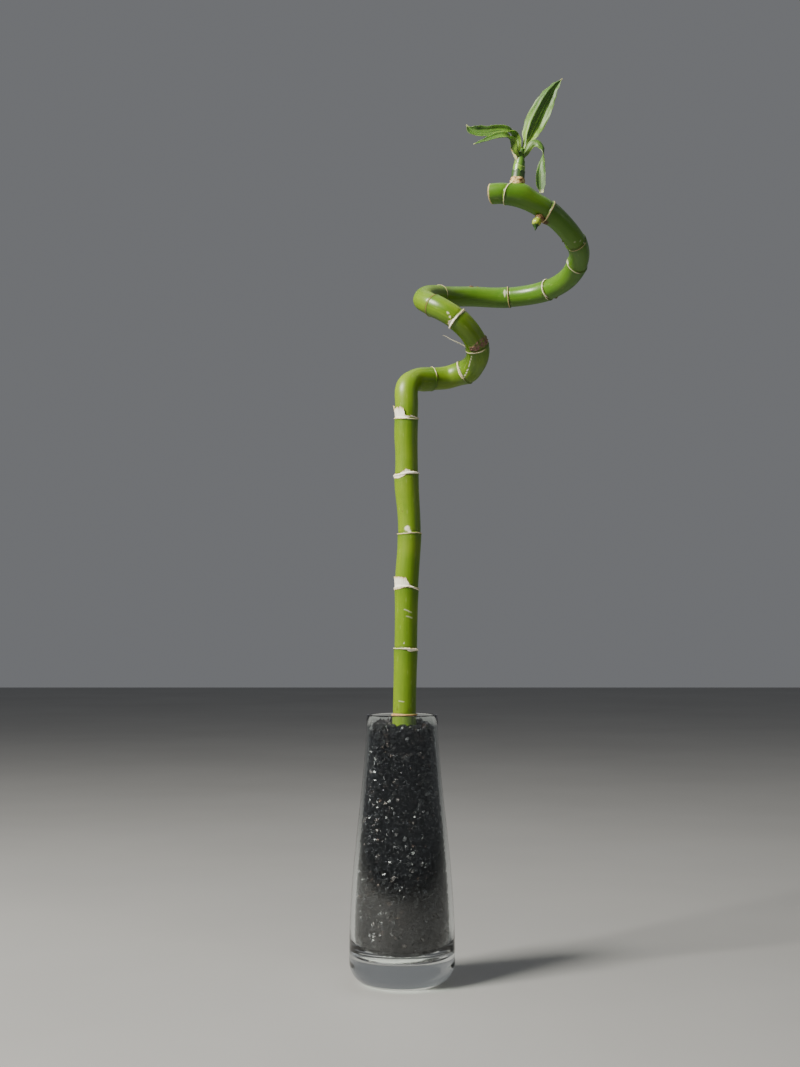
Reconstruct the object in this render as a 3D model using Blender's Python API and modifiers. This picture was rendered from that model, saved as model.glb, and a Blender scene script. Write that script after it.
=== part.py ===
"""Spiral lucky bamboo: one cane of Dracaena sanderiana, coiled at the top, in a glass vase of black gravel.

Run it with: blender --background --python part.py
Metres, +Z up. The vase stands on Z = 0 with its axis on Z, and the front of the plant faces -Y.
"""
import math
import random

import bmesh
import bpy
from mathutils import Euler, Vector

MM = 0.001
GAP = 0.3 * MM                      # clearance left between pieces that touch
FRONT = Vector((0, -1, 0))

# Vase
VASE_HEIGHT = 200 * MM
RIM_RADIUS = 26.8 * MM
BELLY_RADIUS = 39.6 * MM
BELLY_HEIGHT = 24 * MM              # the widest level
FOOT_ROUNDING = 17 * MM             # between the belly and the flat foot
WALL_FLARE = 1.62                   # over 1 keeps the wall upright near the rim
WALL_AT_RIM = 2.0 * MM
WALL_AT_BELLY = 3.6 * MM
GLASS_FLOOR = 19.5 * MM             # solid glass under the gravel
FLOOR_ROUNDING = 15 * MM
WALL_LEVELS = 9
CORNER_STEPS = 5
RIM_STEPS = 4
TURN_STEPS = 40

# Gravel
GRAVEL_TOP = 190 * MM
LOOSE_CHIPS = 12
CHIP_RING_RADIUS = 17 * MM
CHIP_HALF_SIZE = (2.4 * MM, 1.9 * MM, 1.5 * MM)
CHIP_ROUGHNESS = 0.15               # how far a chip's corners wander, as a share of its size

# Cane. The stem's rows are X and height of its centre line. The coil's rows are the degrees turned
# clockwise from its left side, the X of its centre, its radius and its height. All in millimetres.
STEM_ROUTE = ((0.5, 45), (1.2, 120), (1.8, 200), (2.8, 249), (3.6, 294), (5.6, 337),
              (3.7, 381), (3.4, 420), (4.0, 436))
COIL_ROUTE = ((4, 31.5, 27.4, 449), (30, 31.5, 25.0, 458.5), (71, 31.5, 23.5, 460.5),
              (105, 31.5, 26.5, 463), (145, 31.5, 27.0, 468.5), (180, 31.5, 26.5, 476.5),
              (220, 37.5, 20.5, 487.5), (256, 37.5, 20.5, 498), (290, 37.5, 20.5, 506),
              (325, 37.5, 20.5, 512.5), (360, 37.5, 20.5, 518), (385, 58, 41, 525),
              (409, 76.8, 59.9, 531), (429, 76.8, 59.9, 533.5), (458, 76.8, 59.9, 533.5),
              (488, 76.8, 59.9, 535.5), (514, 76.8, 59.9, 541), (540, 76.8, 59.9, 550.5),
              (567, 76.8, 59.9, 558), (597, 76.8, 59.9, 572), (618, 76.8, 59.9, 580.5),
              (632, 76.8, 59.9, 583.5), (643, 76.8, 59.9, 583.5))
SPAN_STEPS = 16                     # readings of the smooth line between two route points
CANE_RADIUS_LOW = 8.6 * MM
CANE_RADIUS_TOP = 7.5 * MM
CANE_TAPER = 1.6                    # over 1 keeps the lower cane stout
CANE_RESOLUTION = 5                 # 14 sides
RING_SPACING = 7 * MM               # between the cane's cross sections
NODES = (60, 107, 155, 204, 249, 292, 338, 381, 438, 465, 493, 525, 553,
         612, 671, 703, 745, 782, 825, 858)          # millimetres along the cane
NODE_RISE = 0.35 * MM
NODE_HALF_WIDTH = 1.2 * MM
NODE_SWELLING = 0.5 * MM            # the cane is a little stouter just above each node
SWELLING_LENGTH = 12 * MM

# Roots, in the gravel
ROOT_COUNT = 6
ROOT_RADIUS = 1.5 * MM
ROOT_TIP = 0.6                      # share of the radius left at the tip
ROOT_TOP = 66 * MM                  # height of the highest root
ROOT_STEP = 4 * MM                  # each root leaves the cane this much lower
ROOT_REACH = 28 * MM                # distance of a tip from the cane's centre
ROOT_FALL = 24 * MM
ROOT_SWEEP = math.radians(32)       # how far a root turns round the cane
ROOT_POINTS = 8
ROOT_START = 5 * MM                 # inside the cane, before it is trimmed

# Side shoot: X, Y, height and radius, in millimetres
SHOOT = ((84.6, -58.8, 584, 5.7), (85.0, -58.8, 594, 5.8), (86.2, -58.5, 604, 5.2),
         (87.6, -58.1, 612, 4.6), (88.4, -57.9, 617.5, 3.4))
SHOOT_RESOLUTION = 5

# Bud: how far along the cane, the way that it points, and its distances from the centre line and radii
BUD_AT = 830 * MM
BUD_WAY = Vector((-0.42, -0.22, -0.88))
BUD_OUTLINE = ((5.5, 2.3), (10.0, 2.3), (11.4, 2.9), (13.0, 3.1), (14.6, 2.4), (16.0, 1.2), (18.0, 0.4))

# A dry strand of old sheath, inside the coil's first turn: X, Y, height and radius, in millimetres
STRAND = ((50.4, -4.2, 479.2, 0.5), (47.0, -4.6, 481.6, 0.6), (43.7, -5.0, 483.3, 0.5),
          (37.0, -6.0, 486.2, 0.4), (31.2, -7.0, 489.0, 0.25))

# Leaves. Each has the X, Y and height of its midrib's points and its half widths at even steps from
# stalk to tip, in millimetres; how far each half folds up, in degrees; and the way that its right
# side points at its base and at its tip.
LEAF_THICKNESS = 0.5 * MM
LEAF_LENGTH_STEPS = 18
LEAF_WIDTH_STEPS = 4
LEAVES = {
    "leaf_upright": {
        "midrib": ((89.6, -57.2, 615.5), (91.6, -56.8, 621.0), (94.8, -56.2, 629.7), (99.3, -55.2, 640.3),
                   (103.5, -54.2, 649.3), (108.4, -53.2, 659.0), (113.2, -52.2, 666.8), (119.4, -51.0, 673.4)),
        "half_widths": (1.6, 3.6, 7.0, 8.8, 9.0, 8.2, 6.4, 3.6, 0.3), "fold": 30,
        "side_at_base": (0.87, 0.0, -0.4), "side_at_tip": (0.87, 0.0, -0.5)},
    "leaf_left_upper": {
        "midrib": ((87.4, -57.0, 611.0), (84.6, -56.2, 617.5), (82.6, -56.0, 624.6), (78.6, -56.2, 629.6),
                   (71.6, -56.6, 631.0), (62.0, -57.2, 629.2), (54.0, -57.4, 629.4), (49.0, -57.2, 633.0),
                   (47.6, -57.0, 638.0)),
        "half_widths": (1.8, 3.4, 4.2, 3.8, 4.0, 4.8, 5.4, 3.8, 0.3), "fold": 20,
        "side_at_base": (0.8, -0.6, 0.0), "side_at_tip": (0.0, -0.5, -0.85)},
    "leaf_left_lower": {
        "midrib": ((86.6, -59.8, 608.5), (82.0, -62.6, 613.5), (79.8, -63.8, 620.6), (76.0, -64.6, 624.4),
                   (69.0, -65.2, 624.6), (61.0, -65.4, 621.8), (52.2, -65.4, 618.6)),
        "half_widths": (1.4, 2.6, 3.6, 3.6, 3.0, 2.2, 1.3, 0.3), "fold": 20,
        "side_at_base": (0.6, -0.8, 0.0), "side_at_tip": (0.0, -0.6, -0.8)},
    "leaf_right": {
        "midrib": ((87.6, -59.6, 609.5), (91.6, -61.6, 615.5), (95.3, -62.8, 620.4), (99.5, -63.8, 620.4),
                   (102.5, -64.8, 617.1), (103.7, -65.8, 612.4), (103.2, -66.8, 606.8), (102.2, -67.6, 601.3),
                   (101.4, -68.2, 593.7), (101.4, -68.4, 586.2), (101.7, -68.4, 581.4)),
        "half_widths": (1.4, 2.4, 2.8, 2.4, 1.5, 1.6, 3.0, 3.7, 3.4, 1.0), "fold": 16,
        "side_at_base": (-0.3, -0.95, 0.0), "side_at_tip": (0.95, -0.3, 0.0)},
    "leaf_bract": {
        "midrib": ((86.0, -59.6, 603.5), (82.2, -61.2, 609.0), (80.4, -61.8, 613.5), (79.0, -62.2, 618.0)),
        "half_widths": (1.1, 1.7, 1.1, 0.2), "fold": 12,
        "side_at_base": (0.5, -0.85, 0.0), "side_at_tip": (0.5, -0.85, 0.0)},
}

# Papery remnants of old leaf sheaths: the node, the angle of the middle round the cane from its front
# (positive to the right), half the angle that it spans, and its height at its left and right ends
SCALE_THICKNESS = 0.25 * MM
SCALE_ANGLE_STEPS = 7
SCALE_HEIGHT_STEPS = 3
SCALES = {
    "sheath_scale_rim": (155, 0, 70, 1.6, 1.6),
    "sheath_scale_low": (204, 50, 62, 1.2, 2.6),
    "sheath_scale_broad": (249, -28, 84, 10.5, 1.0),
    "sheath_scale_wavy": (338, 0, 80, 2.0, 2.6),
    "sheath_scale_pointed": (381, -72, 40, 9.5, 1.4),
    "sheath_scale_coil_low": (465, -5, 60, 2.0, 8.0),
    "sheath_scale_coil_mid": (525, -30, 60, 4.4, 1.2),
    "sheath_scale_coil_high": (703, -40, 60, 2.4, 1.6),
}

# Base colour, roughness, metallic and transmission
FINISHES = {
    "clear_glass": ((0.86, 0.92, 0.90), 0.03, 0.0, 0.95),
    "black_gravel": ((0.012, 0.013, 0.015), 0.25, 0.0, 0.0),
    "green_cane": ((0.20, 0.42, 0.05), 0.35, 0.0, 0.0),
    "green_shoot": ((0.12, 0.30, 0.05), 0.40, 0.0, 0.0),
    "green_leaf": ((0.10, 0.26, 0.05), 0.45, 0.0, 0.0),
    "dry_sheath": ((0.72, 0.62, 0.42), 0.70, 0.0, 0.0),
    "orange_root": ((0.55, 0.24, 0.07), 0.60, 0.0, 0.0),
}


# ---- scene, collections and finishes ----

def clear_scene():
    for item in list(bpy.data.objects):
        bpy.data.objects.remove(item, do_unlink=True)


def make_collection(name):
    collection = bpy.data.collections.new(name)
    bpy.context.scene.collection.children.link(collection)
    return collection


def make_finish(name):
    colour, roughness, metallic, transmission = FINISHES[name]
    finish = bpy.data.materials.new(name)
    finish.use_nodes = True
    shader = finish.node_tree.nodes["Principled BSDF"]
    shader.inputs["Base Color"].default_value = (*colour, 1.0)
    shader.inputs["Roughness"].default_value = roughness
    shader.inputs["Metallic"].default_value = metallic
    shader.inputs["Transmission Weight"].default_value = transmission
    return finish


def add_piece(name, data, finish):
    """Put a mesh or a curve into the plant's collection, with a finish of its own."""
    piece = bpy.data.objects.new(name, data)
    data.materials.append(make_finish(finish))
    bpy.data.collections["lucky_bamboo"].objects.link(piece)
    return piece


def add_cutter(name, data):
    cutter = bpy.data.objects.new(name, data)
    cutter.hide_render = True
    cutter.display_type = "WIRE"
    bpy.data.collections["cutters"].objects.link(cutter)
    return cutter


def cut(piece, cutter):
    boolean = piece.modifiers.new("clear_of_" + cutter.name, "BOOLEAN")
    boolean.operation = "DIFFERENCE"
    boolean.solver = "EXACT"
    boolean.object = cutter


# ---- smooth lines and tubes ----

def catmull_rom(before, start, end, after, share):
    """The point at a share of the way from start to end, on a centripetal Catmull-Rom curve."""
    knots = [0.0]
    for near, far in ((before, start), (start, end), (end, after)):
        knots.append(knots[-1] + math.sqrt((far - near).length))
    k0, k1, k2, k3 = knots
    k = k1 + (k2 - k1) * share
    a1 = before.lerp(start, k / k1)
    a2 = start.lerp(end, (k - k1) / (k2 - k1))
    a3 = end.lerp(after, (k - k2) / (k3 - k2))
    b1 = a1.lerp(a2, k / k2)
    b2 = a2.lerp(a3, (k - k1) / (k3 - k1))
    return b1.lerp(b2, share)


class Route:
    """A smooth line through given points, read by the distance along it."""

    def __init__(self, points):
        ends = [2 * points[0] - points[1], *points, 2 * points[-1] - points[-2]]
        self.points = []
        for i in range(1, len(ends) - 2):
            for step in range(SPAN_STEPS):
                self.points.append(catmull_rom(*ends[i - 1:i + 3], step / SPAN_STEPS))
        self.points.append(ends[-2])
        self.distances = [0.0]
        for near, far in zip(self.points, self.points[1:]):
            self.distances.append(self.distances[-1] + (far - near).length)
        self.length = self.distances[-1]

    def at(self, distance):
        """The point at a distance. Past either end the line runs straight on."""
        i = 1
        while i < len(self.points) - 1 and self.distances[i] < distance:
            i += 1
        span = self.distances[i] - self.distances[i - 1]
        share = (distance - self.distances[i - 1]) / span
        return self.points[i - 1].lerp(self.points[i], share)

    def way(self, distance):
        """The direction of the line at a distance."""
        reach = 1.5 * MM
        return (self.at(distance + reach) - self.at(distance - reach)).normalized()


def tube_curve(name, points, radii, resolution):
    """A curve of straight spans with a radius at every point and filled caps."""
    curve = bpy.data.curves.new(name, "CURVE")
    curve.dimensions = "3D"
    curve.bevel_depth = MM
    curve.bevel_resolution = resolution
    curve.use_fill_caps = True
    curve.render_resolution_u = 0
    spline = curve.splines.new("POLY")
    spline.points.add(len(points) - 1)
    for spot, point, radius in zip(spline.points, points, radii):
        spot.co = (*point, 1.0)
        spot.radius = radius / MM
    return curve


def tube_mesh(name, points, radii, resolution):
    """The same tube as a closed mesh, for use with a Boolean."""
    source = bpy.data.objects.new(name, tube_curve(name, points, radii, resolution))
    bpy.context.scene.collection.objects.link(source)
    mesh = bpy.data.meshes.new_from_object(source.evaluated_get(bpy.context.evaluated_depsgraph_get()))
    bpy.data.objects.remove(source, do_unlink=True)
    form = bmesh.new()
    form.from_mesh(mesh)
    bmesh.ops.remove_doubles(form, verts=form.verts, dist=0.001 * MM)
    bmesh.ops.recalc_face_normals(form, faces=form.faces)
    form.to_mesh(mesh)
    form.free()
    mesh.name = name
    return mesh


# ---- the vase and its gravel ----

def wall_radius(height):
    """The vase's outer radius between the belly and the rim."""
    fall = (VASE_HEIGHT - height) / (VASE_HEIGHT - BELLY_HEIGHT)
    return RIM_RADIUS + (BELLY_RADIUS - RIM_RADIUS) * math.sin(fall * math.pi / 2) ** WALL_FLARE


def inner_radius(height):
    fall = (VASE_HEIGHT - height) / (VASE_HEIGHT - BELLY_HEIGHT)
    return wall_radius(height) - WALL_AT_RIM - (WALL_AT_BELLY - WALL_AT_RIM) * fall


def arc(centre, radius, start, end, steps):
    """Points of a round corner in the X-Z plane, from one angle to another."""
    points = []
    for step in range(steps + 1):
        angle = math.radians(start + (end - start) * step / steps)
        points.append((centre[0] + radius * math.cos(angle), centre[1] + radius * math.sin(angle)))
    return points


def levels(low, high, count):
    return [low + (high - low) * i / (count - 1) for i in range(count)]


def bowl_profile(top, gap):
    """The inside of the vase from the middle of its floor up to a height, drawn in by a gap."""
    corner_top = GLASS_FLOOR + FLOOR_ROUNDING
    centre = (inner_radius(corner_top) - FLOOR_ROUNDING, corner_top)
    profile = [(0.0, GLASS_FLOOR + gap)]
    profile += arc(centre, FLOOR_ROUNDING - gap, -90, 0, CORNER_STEPS)
    profile += [(inner_radius(z) - gap, z) for z in levels(corner_top, top, WALL_LEVELS)[1:]]
    return profile


def vase_profile():
    lip = WALL_AT_RIM / 2
    lip_height = VASE_HEIGHT - lip
    profile = bowl_profile(lip_height, 0.0)
    profile += arc((wall_radius(lip_height) - lip, lip_height), lip, 180, 0, RIM_STEPS)[1:]
    profile += [(wall_radius(z), z) for z in levels(lip_height, BELLY_HEIGHT, WALL_LEVELS + 2)[1:]]
    profile += arc((BELLY_RADIUS - FOOT_ROUNDING, FOOT_ROUNDING), FOOT_ROUNDING, 0, -90, CORNER_STEPS + 1)
    profile.append((0.0, 0.0))
    return profile


def gravel_profile():
    """The filling, from the middle of its top down its side to the middle of the vase's floor."""
    side = bowl_profile(GRAVEL_TOP, GAP)
    return [(0.0, GRAVEL_TOP)] + side[::-1]


def turned(name, profile):
    """A profile of radius and height, as the mesh of an open line that a Screw modifier turns."""
    mesh = bpy.data.meshes.new(name)
    form = bmesh.new()
    spots = [form.verts.new((radius, 0.0, height)) for radius, height in profile]
    for near, far in zip(spots, spots[1:]):
        form.edges.new((near, far))
    form.to_mesh(mesh)
    form.free()
    return mesh


def turn_round(piece):
    screw = piece.modifiers.new("turn", "SCREW")
    screw.axis = "Z"
    screw.steps = TURN_STEPS
    screw.render_steps = TURN_STEPS
    screw.use_merge_vertices = True
    screw.merge_threshold = 0.01 * MM
    screw.use_smooth_shade = False


def make_vase():
    vase = add_piece("glass_vase", turned("glass_vase", vase_profile()), "clear_glass")
    turn_round(vase)


def make_gravel(cutters):
    """The filling as one body, with the socket of the cane and the ways of the roots left open."""
    gravel = add_piece("gravel_bed", turned("gravel_bed", gravel_profile()), "black_gravel")
    turn_round(gravel)
    for cutter in cutters:
        cut(gravel, cutter)


def make_loose_chips():
    """Chips that lie on top of the filling, each turned its own way, all round the cane."""
    dice = random.Random(7)
    for number in range(LOOSE_CHIPS):
        name = "gravel_chip_%02d" % (number + 1)
        form = bmesh.new()
        bmesh.ops.create_icosphere(form, subdivisions=1, radius=1.0)
        turn = Euler([dice.uniform(0, math.tau) for _ in range(3)]).to_matrix()
        for vert in form.verts:
            corner = vert.co * (1 + dice.uniform(-CHIP_ROUGHNESS, CHIP_ROUGHNESS))
            vert.co = turn @ Vector([corner[i] * CHIP_HALF_SIZE[i] for i in range(3)])
        angle = math.tau * number / LOOSE_CHIPS
        lowest = min(vert.co.z for vert in form.verts)
        seat = Vector((CHIP_RING_RADIUS * math.cos(angle), CHIP_RING_RADIUS * math.sin(angle),
                       GRAVEL_TOP + GAP - lowest))
        bmesh.ops.translate(form, verts=form.verts, vec=seat)
        mesh = bpy.data.meshes.new(name)
        form.to_mesh(mesh)
        form.free()
        add_piece(name, mesh, "black_gravel")


# ---- the cane ----

def cane_route():
    points = [Vector((x, 0.0, z)) for x, z in STEM_ROUTE]
    for turned_by, centre, radius, height in COIL_ROUTE:
        angle = math.radians(turned_by)
        points.append(Vector((centre - radius * math.cos(angle), radius * math.sin(angle), height)))
    return Route([point * MM for point in points])


def cane_radius(route, distance):
    """The plain radius: a taper, with a swelling above each node that dies away."""
    share = min(max(distance / route.length, 0.0), 1.0)
    radius = CANE_RADIUS_LOW + (CANE_RADIUS_TOP - CANE_RADIUS_LOW) * share ** CANE_TAPER
    passed = [distance - node * MM for node in NODES if node * MM <= distance]
    if passed:
        radius += NODE_SWELLING * math.exp(-min(passed) / SWELLING_LENGTH)
    return radius


def cane_sections(route):
    """Distances of the cross sections: three at every node, and even steps between."""
    marks = [0.0, route.length]
    for node in NODES:
        marks += [node * MM - NODE_HALF_WIDTH, node * MM, node * MM + NODE_HALF_WIDTH]
    marks.sort()
    sections = []
    for near, far in zip(marks, marks[1:]):
        steps = max(1, round((far - near) / RING_SPACING))
        sections += [near + (far - near) * i / steps for i in range(steps)]
    return sections + [route.length]


def cane_shape(route, extra):
    """Points and radii of the cane, made stouter by extra and longer by extra at its lower end."""
    rings = {node * MM for node in NODES}
    points = []
    radii = []
    for distance in cane_sections(route):
        rise = NODE_RISE if distance in rings else 0.0
        points.append(route.at(distance if distance > 0 else -extra))
        radii.append(cane_radius(route, distance) + rise + extra)
    return points, radii


def make_cane(route):
    add_piece("cane", tube_curve("cane", *cane_shape(route, 0.0), CANE_RESOLUTION), "green_cane")


def round_cane(route, distance, angle, reach):
    """A point off the cane's centre line. Angle 0 is the cane's front, and positive is to the right."""
    way = route.way(distance)
    front = (FRONT - FRONT.project(way)).normalized()
    side = way.cross(front)
    return route.at(distance) + (front * math.cos(angle) + side * math.sin(angle)) * reach


# ---- roots ----

def root_shape(number, extra):
    """A root leaves the cane sideways, falls and sweeps round. Points and radii, stouter by extra."""
    start_angle = math.tau * number / ROOT_COUNT
    top = ROOT_TOP - ROOT_STEP * (number % 3)
    points = []
    radii = []
    for step in range(ROOT_POINTS):
        share = step / (ROOT_POINTS - 1)
        reach = ROOT_START + (ROOT_REACH - ROOT_START) * share ** 0.8
        angle = start_angle + ROOT_SWEEP * share ** 2
        points.append(Vector((reach * math.cos(angle), reach * math.sin(angle), top - ROOT_FALL * share ** 1.5)))
        radii.append(ROOT_RADIUS * (1 - (1 - ROOT_TIP) * share) + extra)
    points[-1] += (points[-1] - points[-2]).normalized() * extra
    return points, radii


def make_roots(cane_cutter):
    """The roots, and the cutters that open their ways in the gravel."""
    cutters = []
    for number in range(ROOT_COUNT):
        name = "root_%d" % (number + 1)
        root = add_piece(name, tube_mesh(name, *root_shape(number, 0.0), 2), "orange_root")
        cut(root, cane_cutter)
        cutters.append(add_cutter(name + "_way", tube_mesh(name + "_way", *root_shape(number, GAP), 2)))
    return cutters


# ---- shoot, bud, strand ----

def shoot_shape(extra):
    points = [Vector(row[:3]) * MM for row in SHOOT]
    radii = [row[3] * MM + extra for row in SHOOT]
    points[-1] += (points[-1] - points[-2]).normalized() * extra
    return points, radii


def make_shoot(cane_cutter):
    shoot = add_piece("side_shoot", tube_mesh("side_shoot", *shoot_shape(0.0), SHOOT_RESOLUTION), "green_shoot")
    cut(shoot, cane_cutter)
    return add_cutter("shoot_room", tube_mesh("shoot_room", *shoot_shape(GAP), SHOOT_RESOLUTION))


def make_bud(route, cane_cutter):
    base = route.at(BUD_AT)
    way = BUD_WAY.normalized()
    points = [base + way * reach * MM for reach, _ in BUD_OUTLINE]
    radii = [radius * MM for _, radius in BUD_OUTLINE]
    bud = add_piece("side_bud", tube_mesh("side_bud", points, radii, 4), "green_leaf")
    cut(bud, cane_cutter)


def make_strand(cane_cutter):
    points = [Vector(row[:3]) * MM for row in STRAND]
    radii = [row[3] * MM for row in STRAND]
    strand = add_piece("dry_strand", tube_mesh("dry_strand", points, radii, 1), "dry_sheath")
    cut(strand, cane_cutter)


# ---- leaves and papery scales ----

def mapped_grid(name, width_steps, length_steps, place):
    """A grid whose points are placed by a function of across (-1 to 1) and along (0 to 1)."""
    form = bmesh.new()
    bmesh.ops.create_grid(form, x_segments=width_steps, y_segments=length_steps, size=1.0)
    for vert in form.verts:
        vert.co = place(vert.co.x, (vert.co.y + 1) / 2)
    mesh = bpy.data.meshes.new(name)
    form.to_mesh(mesh)
    form.free()
    return mesh


def thicken(piece, thickness):
    solidify = piece.modifiers.new("thickness", "SOLIDIFY")
    solidify.thickness = thickness
    solidify.offset = 0.0


def between(values, share):
    """A value eased between evenly spaced ones."""
    spot = min(max(share, 0.0), 1.0) * (len(values) - 1)
    first = min(int(spot), len(values) - 2)
    ease = (1 - math.cos(math.pi * (spot - first))) / 2
    return values[first] + (values[first + 1] - values[first]) * ease


def make_leaf(name, shape, shoot_cutter):
    midrib = Route([Vector(point) * MM for point in shape["midrib"]])
    base_side = Vector(shape["side_at_base"])
    tip_side = Vector(shape["side_at_tip"])
    fold = math.radians(shape["fold"])

    def place(across, along):
        distance = midrib.length * along
        way = midrib.way(distance)
        side = base_side.lerp(tip_side, along)
        side = (side - side.project(way)).normalized()
        out = across * between(shape["half_widths"], along) * MM
        return midrib.at(distance) + side * out * math.cos(fold) + way.cross(side) * abs(out) * math.sin(fold)

    leaf = add_piece(name, mapped_grid(name, LEAF_WIDTH_STEPS, LEAF_LENGTH_STEPS, place), "green_leaf")
    thicken(leaf, LEAF_THICKNESS)
    cut(leaf, shoot_cutter)


def make_scale(name, shape, route):
    """A remnant that lies on the cane just above a node, with a ragged slanting top."""
    node, middle, half_angle, left_height, right_height = shape
    base = node * MM + NODE_HALF_WIDTH + GAP

    def place(across, along):
        angle = math.radians(middle + half_angle * across)
        height = (left_height + (right_height - left_height) * (across + 1) / 2) * MM
        height *= 1 - 0.18 * math.cos(9 * across + node)
        distance = base + height * along
        reach = cane_radius(route, distance) + GAP + SCALE_THICKNESS
        return round_cane(route, distance, angle, reach)

    mesh = mapped_grid(name, SCALE_ANGLE_STEPS, SCALE_HEIGHT_STEPS, place)
    thicken(add_piece(name, mesh, "dry_sheath"), SCALE_THICKNESS)


def main():
    clear_scene()
    make_collection("lucky_bamboo")
    make_collection("cutters").hide_render = True
    route = cane_route()
    make_cane(route)
    cane_cutter = add_cutter("cane_room", tube_mesh("cane_room", *cane_shape(route, GAP), CANE_RESOLUTION))
    make_vase()
    make_gravel([cane_cutter, *make_roots(cane_cutter)])
    make_loose_chips()
    shoot_cutter = make_shoot(cane_cutter)
    make_bud(route, cane_cutter)
    make_strand(cane_cutter)
    for name, shape in LEAVES.items():
        make_leaf(name, shape, shoot_cutter)
    for name, shape in SCALES.items():
        make_scale(name, shape, route)


main()
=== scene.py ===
# %% [markdown]
# # Spiral lucky bamboo in a vase of black gravel
#
# A florist stands one trained cane in a tapered glass vase and packs it with crushed black stone. This
# lesson dresses the plain model of that plant with the surfaces of the real one: clear thick glass,
# thousands of glossy chips, a waxy jointed cane, papery scraps of old leaf sheath, and fresh leaves.
# The plain model gives every place and size, so it is loaded first.

# %% Load the plain model
import math
import random

import bpy
import numpy as np
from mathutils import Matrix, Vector


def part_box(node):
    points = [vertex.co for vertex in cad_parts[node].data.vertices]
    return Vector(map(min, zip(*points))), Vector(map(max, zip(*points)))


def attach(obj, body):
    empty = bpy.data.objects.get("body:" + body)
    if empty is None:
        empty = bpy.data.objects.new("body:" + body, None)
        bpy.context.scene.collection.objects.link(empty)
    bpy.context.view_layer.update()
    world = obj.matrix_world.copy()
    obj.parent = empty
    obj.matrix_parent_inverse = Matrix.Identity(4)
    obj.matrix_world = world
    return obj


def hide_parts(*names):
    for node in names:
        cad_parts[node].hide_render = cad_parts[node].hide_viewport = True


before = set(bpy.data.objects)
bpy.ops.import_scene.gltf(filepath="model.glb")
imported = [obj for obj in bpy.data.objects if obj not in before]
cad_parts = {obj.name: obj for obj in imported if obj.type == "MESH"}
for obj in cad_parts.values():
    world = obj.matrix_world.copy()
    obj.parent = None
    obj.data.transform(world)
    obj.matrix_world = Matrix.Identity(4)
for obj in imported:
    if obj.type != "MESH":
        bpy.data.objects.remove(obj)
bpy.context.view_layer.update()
MM = 0.001
TURN = 2 * math.pi

# %% [markdown]
# ## Camera, light and floor
#
# The plant is seen from a little over a metre away, from the height of the vase's rim, looking slightly
# up. A large key light stands at the front left, where a window would be, and a weak one opens the
# shadows on the right. The floor is one pale plane, so nothing in it competes with the plant.

# %% Camera
CAMERA_PLACE = (-0.0016, -1.1416, 0.2562)
CAMERA_TILT = 4.06                  # degrees above the level
LENS = 50.6

bpy.ops.object.camera_add(location=CAMERA_PLACE, rotation=(math.radians(90 + CAMERA_TILT), 0, 0))
camera = bpy.context.object
camera.name = "camera"
camera.data.lens = LENS
camera.data.clip_start = 0.05
bpy.context.scene.camera = camera

# %% Lights and floor
MIDDLE = Vector((0.04, 0.0, 0.42))


def add_light(name, place, size, power, colour):
    """A square soft light that looks at the middle of the plant."""
    bpy.ops.object.light_add(type="AREA", location=place)
    light = bpy.context.object
    light.name = name
    light.rotation_euler = (MIDDLE - Vector(place)).to_track_quat("-Z", "Y").to_euler()
    light.data.size = size
    light.data.energy = power
    light.data.color = colour
    return light


add_light("key_light", (-1.05, -0.75, 1.55), 0.50, 98, (1.0, 0.96, 0.88))
add_light("fill_light", (1.6, -0.5, 0.9), 1.0, 1.5, (0.90, 0.95, 1.0))
add_light("top_light", (0.3, 0.5, 1.9), 1.6, 5, (1.0, 1.0, 1.0))

world = bpy.data.worlds.new("studio")
bpy.context.scene.world = world
world.use_nodes = True
world.node_tree.nodes["Background"].inputs["Color"].default_value = (0.74, 0.76, 0.80, 1)
world.node_tree.nodes["Background"].inputs["Strength"].default_value = 0.22

bpy.ops.mesh.primitive_plane_add(size=14, location=(0, 0, 0))
floor = bpy.context.object
floor.name = "floor"
print("camera, three lights and a floor are in place")


# %% [markdown]
# ## Tools for materials
#
# Every finish starts from a Principled shader. A few small helpers add nodes and join them, so that each
# material below reads as a list of what it does. Two effects serve several materials, so they are node
# groups: one mottles a colour, and one gives fine bumps.

# %% Node helpers
def new_material(name):
    """A material, its node tree and its Principled shader."""
    material = bpy.data.materials.new(name)
    material.use_nodes = True
    tree = material.node_tree
    shader = tree.nodes["Principled BSDF"]
    return material, tree, shader


def fill(tree, socket, value):
    """Join a socket to another one, or set it. A colour may be three numbers."""
    if isinstance(value, bpy.types.NodeSocket):
        tree.links.new(value, socket)
    elif socket.type == "RGBA" and len(value) == 3:
        socket.default_value = (*value, 1)
    else:
        socket.default_value = value


def add_node(tree, kind, settings=(), **inputs):
    """Add a node. Settings go on the node, and inputs are joined or set."""
    node = tree.nodes.new("ShaderNode" + kind)
    for key, value in dict(settings).items():
        setattr(node, key, value)
    for key, value in inputs.items():
        fill(tree, node.inputs[key.replace("_", " ")], value)
    return node


def ramp(tree, value, stops):
    """A colour ramp from stops of position and colour, read at a value."""
    node = add_node(tree, "ValToRGB", Fac=value)
    band = node.color_ramp
    while len(band.elements) < len(stops):
        band.elements.new(0.5)
    for element, (position, colour) in zip(band.elements, stops):
        element.position = position
        element.color = (*colour, 1)
    return node.outputs["Color"]


def blend_colours(tree, share, first, second):
    """Mix two colours. Each is a socket or three numbers."""
    node = add_node(tree, "Mix", {"data_type": "RGBA"})
    for number, value in ((0, share), (6, first), (7, second)):
        fill(tree, node.inputs[number], value)
    return node.outputs[2]


def scaled(tree, value, low, high, to_low=0.0, to_high=1.0):
    """Map a value from one range to another, and keep it inside."""
    node = add_node(tree, "MapRange", Value=value, From_Min=low, From_Max=high, To_Min=to_low, To_Max=to_high)
    return node.outputs["Result"]


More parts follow.
